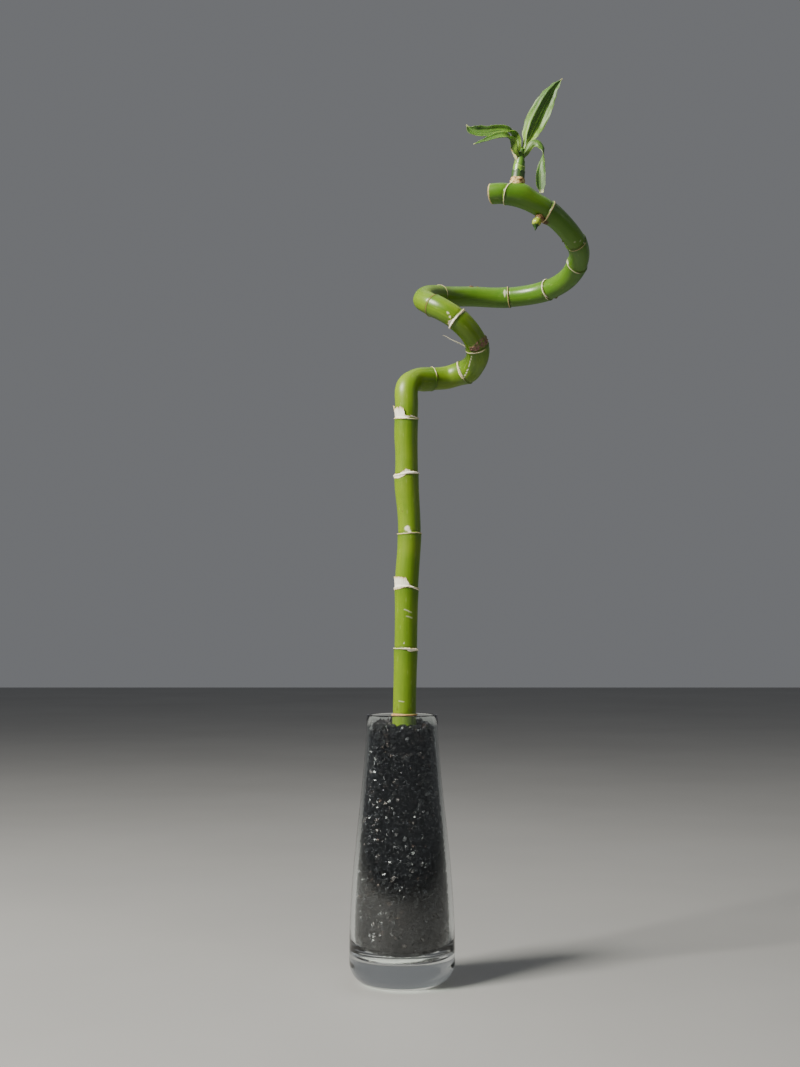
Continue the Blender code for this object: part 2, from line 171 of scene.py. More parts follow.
def tinted(tree, colour, *tints):
    """Lay paints over a colour in turn. Each has its mask, the mask's range or None, and its paint."""
    for mask, span, paint in tints:
        share = scaled(tree, mask, *span) if span else mask
        colour = blend_colours(tree, share, colour, paint)
    return colour


def calculated(tree, operation, *values):
    """The result of a sum with sockets and numbers."""
    node = add_node(tree, "Math", {"operation": operation})
    for socket, value in zip(node.inputs, values):
        fill(tree, socket, value)
    return node.outputs[0]


def drawn_noise(tree, place, stretch, scale, detail, roughness=0.6):
    """Noise drawn out into streaks, along the ways where the stretch is small."""
    drawn = add_node(tree, "Mapping", Vector=place, Scale=stretch)
    noise = add_node(tree, "TexNoise", Vector=drawn.outputs["Vector"], Scale=scale, Detail=detail,
                     Roughness=roughness)
    return noise.outputs["Fac"]


def bumped(tree, height, strength, distance=0.0002):
    return add_node(tree, "Bump", Height=height, Strength=strength, Distance=distance).outputs["Normal"]


def attribute(tree, name, output="Fac"):
    return add_node(tree, "Attribute", {"attribute_name": name}).outputs[output]


def object_place(tree):
    return add_node(tree, "TexCoord").outputs["Object"]


def finish(tree, shader, colour, roughness, normal=None):
    """Give a shader its colour, its roughness and, where it is uneven, its normal."""
    for key, value in (("Base Color", colour), ("Roughness", roughness), ("Normal", normal)):
        if value is not None:
            fill(tree, shader.inputs[key], value)


def let_light_in(shader, weight, radius, scale):
    shader.inputs["Subsurface Weight"].default_value = weight
    shader.inputs["Subsurface Radius"].default_value = radius
    shader.inputs["Subsurface Scale"].default_value = scale


def new_group(name, inputs, outputs):
    """A shader node group with named sockets: its inputs have a type and a default, or None."""
    group = bpy.data.node_groups.new(name, "ShaderNodeTree")
    for label, kind, default in inputs:
        socket = group.interface.new_socket(name=label, in_out="INPUT", socket_type=kind)
        if default is not None:
            socket.default_value = default
    for label, kind in outputs:
        group.interface.new_socket(name=label, in_out="OUTPUT", socket_type=kind)
    return group, group.nodes.new("NodeGroupInput"), group.nodes.new("NodeGroupOutput")


def place_group(tree, group, **inputs):
    return add_node(tree, "Group", {"node_tree": group}, **inputs)


# %% Shared effects
def make_mottle():
    """Cloudy patches and finer specks, for anything that grew or lay in the open."""
    group, given, result = new_group(
        "mottle",
        (("Place", "NodeSocketVector", None), ("Patch Scale", "NodeSocketFloat", 60.0),
         ("Speck Scale", "NodeSocketFloat", 900.0)),
        (("Patches", "NodeSocketFloat"), ("Specks", "NodeSocketFloat")))
    patches = add_node(group, "TexNoise", Vector=given.outputs["Place"],
                       Scale=given.outputs["Patch Scale"], Detail=4.0, Roughness=0.6)
    specks = add_node(group, "TexNoise", Vector=given.outputs["Place"],
                      Scale=given.outputs["Speck Scale"], Detail=2.0, Roughness=0.5)
    fill(group, result.inputs["Patches"], scaled(group, patches.outputs["Fac"], 0.32, 0.68))
    fill(group, result.inputs["Specks"], scaled(group, specks.outputs["Fac"], 0.60, 0.72))
    return group


def make_fine_bumps():
    """Normals of a finely uneven skin."""
    group, given, result = new_group(
        "fine_bumps",
        (("Place", "NodeSocketVector", None), ("Scale", "NodeSocketFloat", 700.0),
         ("Strength", "NodeSocketFloat", 0.3)),
        (("Normal", "NodeSocketVector"),))
    noise = add_node(group, "TexNoise", Vector=given.outputs["Place"], Scale=given.outputs["Scale"],
                     Detail=3.0, Roughness=0.55)
    fill(group, result.inputs["Normal"], bumped(group, noise.outputs["Fac"], given.outputs["Strength"]))
    return group


mottle = make_mottle()
fine_bumps = make_fine_bumps()


def make_floor_paint():
    material, tree, shader = new_material("pale_floor")
    spots = place_group(tree, mottle, Place=object_place(tree), Patch_Scale=1.5, Speck_Scale=40.0)
    colour = blend_colours(tree, spots.outputs["Patches"], (0.25, 0.25, 0.245), (0.28, 0.28, 0.275))
    finish(tree, shader, colour, 0.65)
    return material


floor.data.materials.append(make_floor_paint())
print("node groups:", mottle.name, fine_bumps.name)


# %% [markdown]
# ## Tools for modelling
#
# The pieces of a plant follow lines: the cane follows its coil, and a leaf follows its midrib. One
# helper turns a few given points into a smooth line that can be read at any distance, together
# with two directions across it that never twist. Another puts a finished piece on the plain model.

# %% Smooth lines
class Line:
    """A smooth line through points in millimetres, read in metres by the distance along it."""

    STEPS = 24                      # readings between two given points

    def __init__(self, points, front=(0.0, -1.0, 0.0)):
        given = np.array(points, float) * MM
        ends = np.vstack([2 * given[0] - given[1], given, 2 * given[-1] - given[-2]])
        spots = [self.span(ends[i - 1:i + 3], k / self.STEPS)
                 for i in range(1, len(ends) - 2) for k in range(self.STEPS)]
        self.spots = np.array(spots + [ends[-2]])
        steps = np.linalg.norm(np.diff(self.spots, axis=0), axis=1)
        self.marks = np.concatenate([[0.0], np.cumsum(steps)])
        self.length = self.marks[-1]
        self.ways = np.gradient(self.spots, self.marks, axis=0)
        self.ways /= np.linalg.norm(self.ways, axis=1)[:, None]
        self.fronts = self.carried(np.array(front, float))

    @staticmethod
    def span(four, share):
        """A point of a centripetal Catmull-Rom curve between the middle two of four points."""
        k1, k2, k3 = np.cumsum(np.sqrt(np.linalg.norm(np.diff(four, axis=0), axis=1)))
        k = k1 + (k2 - k1) * share
        a1 = four[0] + (four[1] - four[0]) * k / k1
        a2 = four[1] + (four[2] - four[1]) * (k - k1) / (k2 - k1)
        a3 = four[2] + (four[3] - four[2]) * (k - k2) / (k3 - k2)
        b1 = a1 + (a2 - a1) * k / k2
        b2 = a2 + (a3 - a2) * (k - k1) / (k3 - k1)
        return b1 + (b2 - b1) * share

    def carried(self, front):
        """The front direction, carried along the line without twisting round it."""
        fronts = []
        for way in self.ways:
            front = front - way * np.dot(front, way)
            front = front / np.linalg.norm(front)
            fronts.append(front)
        return np.array(fronts)

    def read(self, values, distance):
        return np.stack([np.interp(distance, self.marks, values[:, i]) for i in range(3)], axis=-1)

    def at(self, distance):
        """Points at distances. Past either end the line runs straight on."""
        distance = np.asarray(distance, float)
        over = np.clip(distance - self.length, 0, None)[..., None] * self.ways[-1]
        under = np.clip(distance, None, 0)[..., None] * self.ways[0]
        return self.read(self.spots, distance) + over + under

    def across(self, distance):
        """The way of the line, its front and its right side, at distances."""
        way = self.read(self.ways, distance)
        way /= np.linalg.norm(way, axis=-1, keepdims=True)
        front = self.read(self.fronts, distance)
        front -= way * np.sum(front * way, axis=-1, keepdims=True)
        front /= np.linalg.norm(front, axis=-1, keepdims=True)
        return way, front, np.cross(way, front)

    def outward(self, distance, angle):
        """The ways out from the line, at angles turned from its front towards its right side."""
        _, front, side = self.across(distance)
        return front * np.cos(angle)[:, None] + side * np.sin(angle)[:, None]


# %% Pieces
def start_fresh():
    """Leave edit mode and deselect everything, because an operator acts on all that is selected."""
    if bpy.context.object and bpy.context.object.mode != "OBJECT":
        bpy.ops.object.mode_set(mode="OBJECT")
    bpy.ops.object.select_all(action="DESELECT")


def choose(piece):
    start_fresh()
    piece.select_set(True)
    bpy.context.view_layer.objects.active = piece


def corners(mesh):
    """A mesh's points as an array."""
    spots = np.empty(len(mesh.vertices) * 3)
    mesh.vertices.foreach_get("co", spots)
    return spots.reshape(-1, 3)


def set_corners(mesh, spots):
    mesh.vertices.foreach_set("co", np.ascontiguousarray(spots, float).ravel())
    mesh.update()


def keep_values(mesh, name, values):
    """Store a number, or three, at every point of a mesh, for a material to read."""
    values = np.asarray(values, float)
    kind = "FLOAT" if values.ndim == 1 else "FLOAT_VECTOR"
    layer = mesh.attributes.new(name, kind, "POINT")
    layer.data.foreach_set("value" if values.ndim == 1 else "vector", np.ascontiguousarray(values).ravel())


def apply_modifiers(piece):
    choose(piece)
    for modifier in list(piece.modifiers):
        bpy.ops.object.modifier_apply(modifier=modifier.name)


def tidy_mesh(piece, distance=0.01 * MM):
    """Merge doubled points and turn every face outwards."""
    choose(piece)
    bpy.ops.object.mode_set(mode="EDIT")
    bpy.ops.mesh.select_all(action="SELECT")
    bpy.ops.mesh.remove_doubles(threshold=distance)
    bpy.ops.mesh.normals_make_consistent(inside=False)
    bpy.ops.object.mode_set(mode="OBJECT")


def dress(piece, material, stands_for=(), smooth=40):
    """Give a finished piece its material, and put it on the plain model."""
    choose(piece)
    bpy.ops.object.transform_apply(location=True, rotation=True, scale=True)
    if smooth:
        bpy.ops.object.shade_smooth_by_angle(angle=math.radians(smooth))
    piece.data.materials.clear()
    piece.data.materials.append(material)
    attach(piece, "root")
    if stands_for:
        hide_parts(*stands_for)
    faces = sum(len(polygon.vertices) - 2 for polygon in piece.data.polygons)
    print("%-22s %7d triangles" % (piece.name, faces))
    return piece


def sheet(name, columns, rows):
    """A flat grid, and the place of its points: across from -1 to 1 and along from 0 to 1."""
    start_fresh()
    bpy.ops.mesh.primitive_grid_add(x_subdivisions=columns, y_subdivisions=rows, size=2)
    piece = bpy.context.object
    piece.name = name
    spots = corners(piece.data)
    return piece, spots[:, 0].copy(), (spots[:, 1] + 1) / 2


def thicken(piece, thickness, offset=0.0):
    wall = piece.modifiers.new("thickness", "SOLIDIFY")
    wall.thickness = thickness
    wall.offset = offset
    wall.use_even_offset = True


print("modelling tools are ready")


# %% [markdown]
# ## The glass vase
#
# A blown vase is a turned shape, so a lathe is the right way to make it: draw half of its section as a
# chain of points and spin the chain once round the axis. The section holds both skins of the glass. Its
# inside comes down in a thin wall to a rounded floor, its outside goes on to a rounded foot, and the 19 mm
# between them are the clear heavy base that makes such a vase stand firm. Solid glass has to be modelled
# as solid glass, or light wouldn't bend in it as it does in the real one.

# %% The section of the vase
vase_low, vase_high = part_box("glass_vase")
VASE_HEIGHT = vase_high[2]
BELLY_RADIUS = (vase_high[0] - vase_low[0]) / 2
RIM_RADIUS = 26.8 * MM
BELLY_HEIGHT = 24 * MM
FOOT_ROUNDING = 17 * MM
WALL_FLARE = 1.62                   # over 1 keeps the wall upright near the rim
WALL_AT_RIM = 2.0 * MM
WALL_AT_BELLY = 3.6 * MM
GLASS_FLOOR = 19.5 * MM
FLOOR_ROUNDING = 15 * MM
FLOOR_CROWN = 0.8 * MM              # the inner floor rises a little in the middle
FOOT_HOLLOW = 0.5 * MM              # and so does the ground foot
HEIGHT_OF_CORNER = GLASS_FLOOR + FLOOR_ROUNDING


def outer_radius(height):
    fall = np.clip((VASE_HEIGHT - height) / (VASE_HEIGHT - BELLY_HEIGHT), 0, 1)
    return RIM_RADIUS + (BELLY_RADIUS - RIM_RADIUS) * np.sin(fall * math.pi / 2) ** WALL_FLARE


def inner_radius(height):
    """The radius of the inside at a height, rounded at the floor."""
    height = np.asarray(height, float)
    fall = np.clip((VASE_HEIGHT - height) / (VASE_HEIGHT - BELLY_HEIGHT), 0, 1)
    wall = outer_radius(height) - WALL_AT_RIM - (WALL_AT_BELLY - WALL_AT_RIM) * fall
    rise = np.clip((HEIGHT_OF_CORNER - height) / FLOOR_ROUNDING, 0, 1)
    return wall - FLOOR_ROUNDING * (1 - np.sqrt(1 - rise ** 2))


def round_corner(centre, radius, start, end, steps):
    angles = np.radians(np.linspace(start, end, steps + 1))
    return [(centre[0] + radius * math.cos(a), centre[1] + radius * math.sin(a)) for a in angles]


def vase_section():
    """Radius and height, from the middle of the inner floor, up, over the rim, and down to the foot."""
    lip = WALL_AT_RIM / 2
    lip_height = VASE_HEIGHT - lip
    corner_radius = float(inner_radius(HEIGHT_OF_CORNER)) - FLOOR_ROUNDING
    section = [(0.0, GLASS_FLOOR + FLOOR_CROWN), (corner_radius * 0.5, GLASS_FLOOR + FLOOR_CROWN * 0.7)]
    section += round_corner((corner_radius, HEIGHT_OF_CORNER), FLOOR_ROUNDING, -90, 0, 12)
    section += [(float(inner_radius(z)), z) for z in np.linspace(HEIGHT_OF_CORNER, lip_height, 22)[1:]]
    section += round_corner((float(outer_radius(lip_height)) - lip, lip_height), lip, 180, 0, 10)[1:]
    section += [(float(outer_radius(z)), z) for z in np.linspace(lip_height, BELLY_HEIGHT, 26)[1:]]
    section += round_corner((BELLY_RADIUS - FOOT_ROUNDING, FOOT_ROUNDING), FOOT_ROUNDING, 0, -90, 14)
    foot = BELLY_RADIUS - FOOT_ROUNDING
    section += [(foot - 2 * MM, 0.0), (foot - 4 * MM, FOOT_HOLLOW), (0.0, FOOT_HOLLOW)]
    return section


# %% Spin the section
def spun(name, section, steps):
    """Extrude one point along a section, then spin the chain round the Z axis."""
    start_fresh()
    bpy.ops.mesh.primitive_plane_add(size=MM)
    piece = bpy.context.object
    piece.name = name
    bpy.ops.object.mode_set(mode="EDIT")
    bpy.ops.mesh.merge(type="CENTER")
    bpy.ops.transform.translate(value=(section[0][0], 0, section[0][1]))
    for near, far in zip(section, section[1:]):
        step = (far[0] - near[0], 0, far[1] - near[1])
        bpy.ops.mesh.extrude_region_move(TRANSFORM_OT_translate={"value": step})
    bpy.ops.mesh.select_all(action="SELECT")
    bpy.ops.mesh.spin(steps=steps, angle=TURN, center=(0, 0, 0), axis=(0, 0, 1))
    bpy.ops.object.mode_set(mode="OBJECT")
    tidy_mesh(piece)
    return piece


vase = spun("vase_glass", vase_section(), 128)


# %% [markdown]
# Clear glass is a Principled shader with full transmission. Real glass is never quite clean, so faint
# smears change its roughness, and the shader's own colour is a hair green. Cycles can't follow light
# that bends through glass onto what lies behind it in few samples, so for shadow rays only the glass
# is plain transparent: the gravel inside then gets the light of the lamps directly.

# %% Glass finish
def make_glass():
    material, tree, shader = new_material("clear_vase_glass")
    shader.inputs["Transmission Weight"].default_value = 1.0
    shader.inputs["IOR"].default_value = 1.5
    place = object_place(tree)
    spots = place_group(tree, mottle, Place=place, Patch_Scale=38.0, Speck_Scale=1500.0)
    smears = scaled(tree, spots.outputs["Patches"], 0.55, 1.0, 0.0, 0.05)
    bumps = place_group(tree, fine_bumps, Place=place, Scale=45.0, Strength=0.03)
    finish(tree, shader, (0.93, 0.97, 0.96), smears, bumps.outputs["Normal"])
    clear = add_node(tree, "BsdfTransparent", Color=(0.90, 0.94, 0.92))
    ray = add_node(tree, "LightPath")
    mix = add_node(tree, "MixShader")
    sources = (ray.outputs["Is Shadow Ray"], shader.outputs["BSDF"], clear.outputs["BSDF"])
    for socket, source in zip(mix.inputs, sources):
        fill(tree, socket, source)
    fill(tree, tree.nodes["Material Output"].inputs["Surface"], mix.outputs["Shader"])
    return material


dress(vase, make_glass(), ["glass_vase"])


# %% [markdown]
# ## The gravel
#
# The filling is crushed black glass or stone: angular chips of 2 to 4 mm with sharp glossy facets. A
# chip is a cube that flat cuts have left with a dozen faces, which is also how crushing makes one. Five
# such chips are enough. They are copied thousands of times, turned and sized at random, and packed in a
# layer against the glass and on top, because nothing deeper shows. A plain dark core fills the middle.
# Chips that would poke through the wall are pressed flat on it, as real ones lie against the glass.

# %% Five chips
CHIP_CUTS = 7


def cut_chip(name, dice):
    """A cube of half a size 1 with corners cut off by flat cuts."""
    start_fresh()
    bpy.ops.mesh.primitive_cube_add(size=1.7)
    chip = bpy.context.object
    chip.name = name
    bpy.ops.object.mode_set(mode="EDIT")
    for _ in range(CHIP_CUTS):
        way = Vector([dice.gauss(0, 1) for _ in range(3)]).normalized()
        bpy.ops.mesh.select_all(action="SELECT")
        bpy.ops.mesh.bisect(plane_co=way * dice.uniform(0.52, 0.85), plane_no=way,
                            use_fill=True, clear_outer=True)
    bpy.ops.mesh.select_all(action="SELECT")
    bpy.ops.mesh.quads_convert_to_tris()
    bpy.ops.mesh.normals_make_consistent(inside=False)
    bpy.ops.object.mode_set(mode="OBJECT")
    return chip


def chip_shapes(count):
    """The points and the triangles of each chip. The chips themselves are then no longer needed."""
    dice = random.Random(11)
    shapes = []
    for number in range(count):
        chip = cut_chip("chip_shape_%d" % number, dice)
        triangles = np.array([polygon.vertices[:] for polygon in chip.data.polygons])
        shapes.append((corners(chip.data), triangles))
        bpy.data.objects.remove(chip, do_unlink=True)
    return shapes


shapes = chip_shapes(5)
print("chips with", [len(triangles) for _, triangles in shapes], "triangles")

# %% Where the chips lie
gravel_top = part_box("gravel_bed")[1][2]
CANE_CLEARANCE = 10.6 * MM          # from the vase's axis: the cane leans a little off it
CHIP_SPACING = 2.05 * MM
LAYER_DEPTH = 5.0 * MM
FROM_WALL = 1.0 * MM                # the nearest that a chip's middle comes to the glass
DARTS = 420000


def spaced_out(places, spacing):
    """Keep each place that is no nearer than a spacing to those kept before it."""
    cells = {}
    kept = []
    for place in places:
        cell = tuple(int(v // spacing) for v in place)
        near = [other for i in (-1, 0, 1) for j in (-1, 0, 1) for k in (-1, 0, 1)
                for other in cells.get((cell[0] + i, cell[1] + j, cell[2] + k), ())]
        if all((place[0] - o[0]) ** 2 + (place[1] - o[1]) ** 2 + (place[2] - o[2]) ** 2 > spacing ** 2
               for o in near):
            cells.setdefault(cell, []).append(place)
            kept.append(place)
    return np.array(kept)


def chip_places(dice):
    """Places in the layer behind the glass, over the floor and under the top."""
    low = np.array([-BELLY_RADIUS, -BELLY_RADIUS, GLASS_FLOOR])
    high = np.array([BELLY_RADIUS, BELLY_RADIUS, gravel_top])
    darts = dice.uniform(low, high, (DARTS, 3))
    reach = np.hypot(darts[:, 0], darts[:, 1])
    depth = np.minimum(inner_radius(darts[:, 2]) - reach, darts[:, 2] - GLASS_FLOOR - FLOOR_CROWN)
    depth = np.minimum(depth, gravel_top - darts[:, 2] + FROM_WALL)
    good = (depth > FROM_WALL) & (depth < LAYER_DEPTH) & (reach > CANE_CLEARANCE)
    return spaced_out([tuple(dart) for dart in darts[good]], CHIP_SPACING)


def turns(dice, count):
    """Random rotations, as matrices, from random unit quaternions."""
    q = dice.normal(size=(count, 4))
    w, x, y, z = (q / np.linalg.norm(q, axis=1)[:, None]).T
    return np.stack([
        np.stack([1 - 2 * (y * y + z * z), 2 * (x * y - w * z), 2 * (x * z + w * y)], axis=-1),
        np.stack([2 * (x * y + w * z), 1 - 2 * (x * x + z * z), 2 * (y * z - w * x)], axis=-1),
        np.stack([2 * (x * z - w * y), 2 * (y * z + w * x), 1 - 2 * (x * x + y * y)], axis=-1)], axis=1)


# %% Fill the vase with chips
CHIP_SIZES = (1.0, 2.15)            # millimetres, from the middle of a chip outwards
SMALL_CHIPS_MORE = 1.4              # over 1 makes small chips more common than big ones
HALF_WAY = 92 * MM                  # the layer is two pieces, under and over this height
CLEAR_OF_GLASS = 0.15 * MM


def pressed_on_glass(spots):
    """Push points that would enter the wall or the floor back to the glass."""
    spots[:, 2] = np.maximum(spots[:, 2], GLASS_FLOOR + FLOOR_CROWN + CLEAR_OF_GLASS)
    reach = np.hypot(spots[:, 0], spots[:, 1])
    room = inner_radius(spots[:, 2]) - CLEAR_OF_GLASS
    spots[:, :2] *= np.minimum(1, room / reach)[:, None]
    return spots


def scattered(name, places, sizes, dice):
    """One mesh of many turned copies of the chip shapes, with a random number kept for each chip."""
    matrices = turns(dice, len(places))
    kinds = dice.integers(0, len(shapes), len(places))
    stretch = dice.uniform(0.65, 1.2, (len(places), 3))
    spots, triangles, numbers = [], [], []
    count = 0
    for i, place in enumerate(places):
        form, faces = shapes[kinds[i]]
        copy = (form * stretch[i] * sizes[i]) @ matrices[i].T + place
        spots.append(pressed_on_glass(copy))
        triangles.append(faces + count)
        numbers.append(np.full(len(form), dice.uniform()))
        count += len(form)
    mesh = bpy.data.meshes.new(name)
    mesh.from_pydata(np.concatenate(spots).tolist(), [], np.concatenate(triangles).tolist())
    mesh.update()
    keep_values(mesh, "chip", np.concatenate(numbers))
    piece = bpy.data.objects.new(name, mesh)
    bpy.context.scene.collection.objects.link(piece)
    return piece


gravel_dice = np.random.default_rng(5)
places = chip_places(gravel_dice)
packed_chips = []
for name, part in (("gravel_chips_low", places[places[:, 2] < HALF_WAY]),
                   ("gravel_chips_high", places[places[:, 2] >= HALF_WAY])):
    grades = gravel_dice.uniform(0, 1, len(part)) ** SMALL_CHIPS_MORE
    part_sizes = (CHIP_SIZES[0] + (CHIP_SIZES[1] - CHIP_SIZES[0]) * grades) * MM
    packed_chips.append(scattered(name, part, part_sizes, gravel_dice))
    print(name, len(part), "chips")


# %% Loose chips on top
LOOSE_COUNT = 90
LOOSE_SIZES = (1.3, 2.6)
LOOSE_SPACING = 2.9 * MM
LOOSE_DARTS = 4000


def loose_places(dice):
    """Places round the cane, on top of the filling."""
    angles = dice.uniform(0, TURN, LOOSE_DARTS)
    reaches = dice.uniform(CANE_CLEARANCE + MM, float(inner_radius(gravel_top)) - 2 * MM, LOOSE_DARTS)
    darts = [(r * math.cos(a), r * math.sin(a), gravel_top + dice.uniform(0.2, 1.4) * MM)
             for a, r in zip(angles, reaches)]
    return spaced_out(darts, LOOSE_SPACING)[:LOOSE_COUNT]


loose_spots = loose_places(gravel_dice)
loose_sizes = gravel_dice.uniform(*LOOSE_SIZES, len(loose_spots)) * MM
loose_chips = scattered("gravel_loose_chips", loose_spots, loose_sizes, gravel_dice)
print(len(loose_spots), "loose chips")


# %% The dark middle of the filling
CORE_INSET = 3.6 * MM


def make_core():
    """A copy of the plain filling, with its sockets for cane and roots, drawn in behind the chips."""
    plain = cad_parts["gravel_bed"]
    core = plain.copy()
    core.data = plain.data.copy()
    core.name = "gravel_core"
    core.parent = None
    bpy.context.scene.collection.objects.link(core)
    tidy_mesh(core)
    spots = corners(core.data)
    reach = np.hypot(spots[:, 0], spots[:, 1])
    outside = reach > inner_radius(spots[:, 2]) - MM
    spots[outside, :2] *= (1 - CORE_INSET / reach[outside])[:, None]
    spots[:, 2] = np.clip(spots[:, 2], GLASS_FLOOR + CORE_INSET, gravel_top - CORE_INSET)
    set_corners(core.data, spots)
    return core


core = make_core()


# %% [markdown]
# The stone is nearly black. What shows it as stone are its facets, so the finish is about gloss: each
# chip has its own grey or brown-black, its own polish, and shell-like ripples where it broke.

# %% Gravel finish
def make_stone():
    material, tree, shader = new_material("crushed_black_stone")
    place = object_place(tree)
    chip = attribute(tree, "chip")
    spots = place_group(tree, mottle, Place=place, Patch_Scale=700.0, Speck_Scale=2600.0)
    tone = ramp(tree, chip, ((0.0, (0.002, 0.002, 0.003)), (0.70, (0.004, 0.004, 0.005)),
                             (0.88, (0.012, 0.012, 0.014)), (0.95, (0.020, 0.012, 0.009)),
                             (1.0, (0.07, 0.07, 0.075))))
    colour = blend_colours(tree, spots.outputs["Specks"], tone, (0.07, 0.07, 0.075))
    other_dice = calculated(tree, "FRACT", calculated(tree, "MULTIPLY", chip, 7.31))
    polish = scaled(tree, other_dice, 0.0, 1.0, 0.03, 0.22)
    bumps = place_group(tree, fine_bumps, Place=place, Scale=900.0, Strength=0.55)
    finish(tree, shader, colour, polish, bumps.outputs["Normal"])
    return material


stone = make_stone()
dress(packed_chips[0], stone, ["gravel_bed"], smooth=0)
dress(packed_chips[1], stone, smooth=0)
dress(loose_chips, stone, ["gravel_chip_%02d" % (i + 1) for i in range(12)], smooth=0)
dress(core, stone, smooth=0)


# %% [markdown]
# ## The cane
#
# A trained cane grew straight between its nodes and was turned towards the light until it coiled. The
# model is made in the same order. First the cane is modelled straight, with its rings, swellings and
# scars, by rolling a fine sheet into a tube. Every point keeps its place on the straight cane, for the
# colours to follow. Then the whole tube is bent along its route. Rings and streaks so stay square to
# the cane all along the coil, which is hard to do on a shape that is already bent.

# %% The route and the nodes
STEM_ROUTE = ((0.5, 45), (1.2, 120), (1.8, 200), (2.8, 249), (3.6, 294), (5.6, 337),
              (3.7, 381), (3.4, 420), (4.0, 436))
COIL_ROUTE = ((4, 31.5, 27.4, 449), (30, 31.5, 25.0, 458.5), (71, 31.5, 23.5, 460.5),
              (105, 31.5, 26.5, 463), (145, 31.5, 27.0, 468.5), (180, 31.5, 26.5, 476.5),
              (220, 37.5, 20.5, 487.5), (256, 37.5, 20.5, 498), (290, 37.5, 20.5, 506),
              (325, 37.5, 20.5, 512.5), (360, 37.5, 20.5, 518), (385, 58, 41, 525),
              (409, 76.8, 59.9, 531), (429, 76.8, 59.9, 533.5), (458, 76.8, 59.9, 533.5),
              (488, 76.8, 59.9, 535.5), (514, 76.8, 59.9, 541), (540, 76.8, 59.9, 550.5),
              (567, 76.8, 59.9, 558), (597, 76.8, 59.9, 572), (618, 76.8, 59.9, 580.5),
              (632, 76.8, 59.9, 583.5), (643, 76.8, 59.9, 583.5))


def cane_points():
    """The stem's points, and the coil's: degrees turned from the left, centre, radius and height."""
    points = [(x, 0.0, z) for x, z in STEM_ROUTE]
    for degrees, centre, radius, height in COIL_ROUTE:
        angle = math.radians(degrees)
        points.append((centre - radius * math.cos(angle), radius * math.sin(angle), height))
    return points


cane_line = Line(cane_points())
print("cane %.0f mm long" % (cane_line.length / MM))


# %% [markdown]
# Every node carries the scar of a leaf that fell: a thin ring, seldom quite square to the cane, cream
# where it is fresh, tan or dark where it is old. A few are plain only on one side. A table says how each
# one lies, so that the rings differ as they do on a real cane.

# %% Leaf scars
# Distance along the cane and lean, in millimetres; the angle of the ring's highest side; its half width
# in millimetres; its colour from 0, cream, through tan to 1, dark; the angle where it is plainest; and
# how many degrees to either side it stays so. Angle 0 is the cane's front and 90 its right.
RINGS = (
    (60.0, 0.5, 40, 0.40, 0.3, 0, 180), (107.0, 0.4, 200, 0.40, 0.3, 0, 180),
    (154.8, 0.4, 90, 0.50, 0.5, -40, 180), (204.4, 0.4, -70, 0.34, 0.1, 40, 150),
    (249.9, 1.5, 0, 0.34, 0.1, 0, 180), (292.0, 0.4, 80, 0.36, 0.25, 0, 180),
    (337.2, 0.9, 60, 0.36, 0.1, 0, 180), (380.6, 0.9, 170, 0.36, 0.1, 0, 180),
    (436.5, 0.6, -20, 0.42, 0.2, 0, 38), (465.2, 1.3, 80, 0.34, 0.15, 45, 42),
    (497.2, 1.7, 140, 0.55, 0.1, 95, 42), (526.4, 0.9, 130, 0.42, 0.1, 150, 110),
    (548.0, 0.3, 0, 0.32, 0.8, 110, 80), (604.0, 2.2, 190, 0.52, 0.25, -135, 42),
    (672.8, 0.4, 0, 0.34, 0.4, -100, 80), (707.4, 0.9, -150, 0.44, 0.1, -100, 70),
    (751.5, 2.0, -110, 0.46, 0.1, -65, 45), (785.0, 1.0, 0, 0.30, 0.4, 0, 40),
    (824.6, 1.5, 30, 0.46, 0.3, 60, 120), (858.0, 3.1, 5, 0.34, 0.1, 20, 150))
NODES = np.array([ring[0] for ring in RINGS]) * MM

# The cane swells up to each ring and steps in over it. Just under each ring its green is painted deepest, as
# a painted shadow of the ring's lip
NODE_SWELLING = 0.65 * MM
NODE_SWELLING_LENGTH = 10 * MM
NODE_SHOULDER = (0.4 * MM, 1.1 * MM)    # where the step over a ring starts and ends
RING_SHADOW_LENGTH = 5 * MM
RING_LIP = (0.16 * MM, 0.20 * MM)       # on every side, and more of it where the ring is plain

# Bulges on the outside of the coil's turns: distance and angle, half length in millimetres, half spread
# in degrees, and height
SWELLINGS = (
    (262, -90, 16, 70, 0.7), (328, -90, 14, 70, 0.9), (368, -90, 10, 70, 0.7), (393, -90, 12, 70, 0.9),
    (406, -80, 9, 55, 0.7), (420, -50, 7, 50, -1.2), (427, 120, 8, 60, 2.0), (448, 130, 12, 60, 0.9),
    (468, 142, 7, 60, 2.3), (484, 155, 11, 60, 0.8), (498, 178, 8, 60, 0.8), (563, 116, 6, 50, 0.7),
    (823, -44, 5, 40, 1.3), (848, 112, 6, 50, 2.2))


def soft_step(value, low, high):
    share = np.clip((value - low) / (high - low), 0, 1)
    return share * share * (3 - 2 * share)


def bell(value, middle, width):
    return np.exp(-((value - middle) / width) ** 2)


def swollen(distance, angle):
    """The bulges added up."""
    height = np.zeros_like(distance)
    for at, side, reach, spread, rise in SWELLINGS:
        near = bell(distance, at * MM, reach * MM)
        height += rise * MM * near * bell(turned_from(angle, side), 0, math.radians(spread))
    return height


def turned_from(angle, degrees):
    """How far angles are from a given one, the short way round."""
    return (angle - np.radians(degrees) + math.pi) % TURN - math.pi


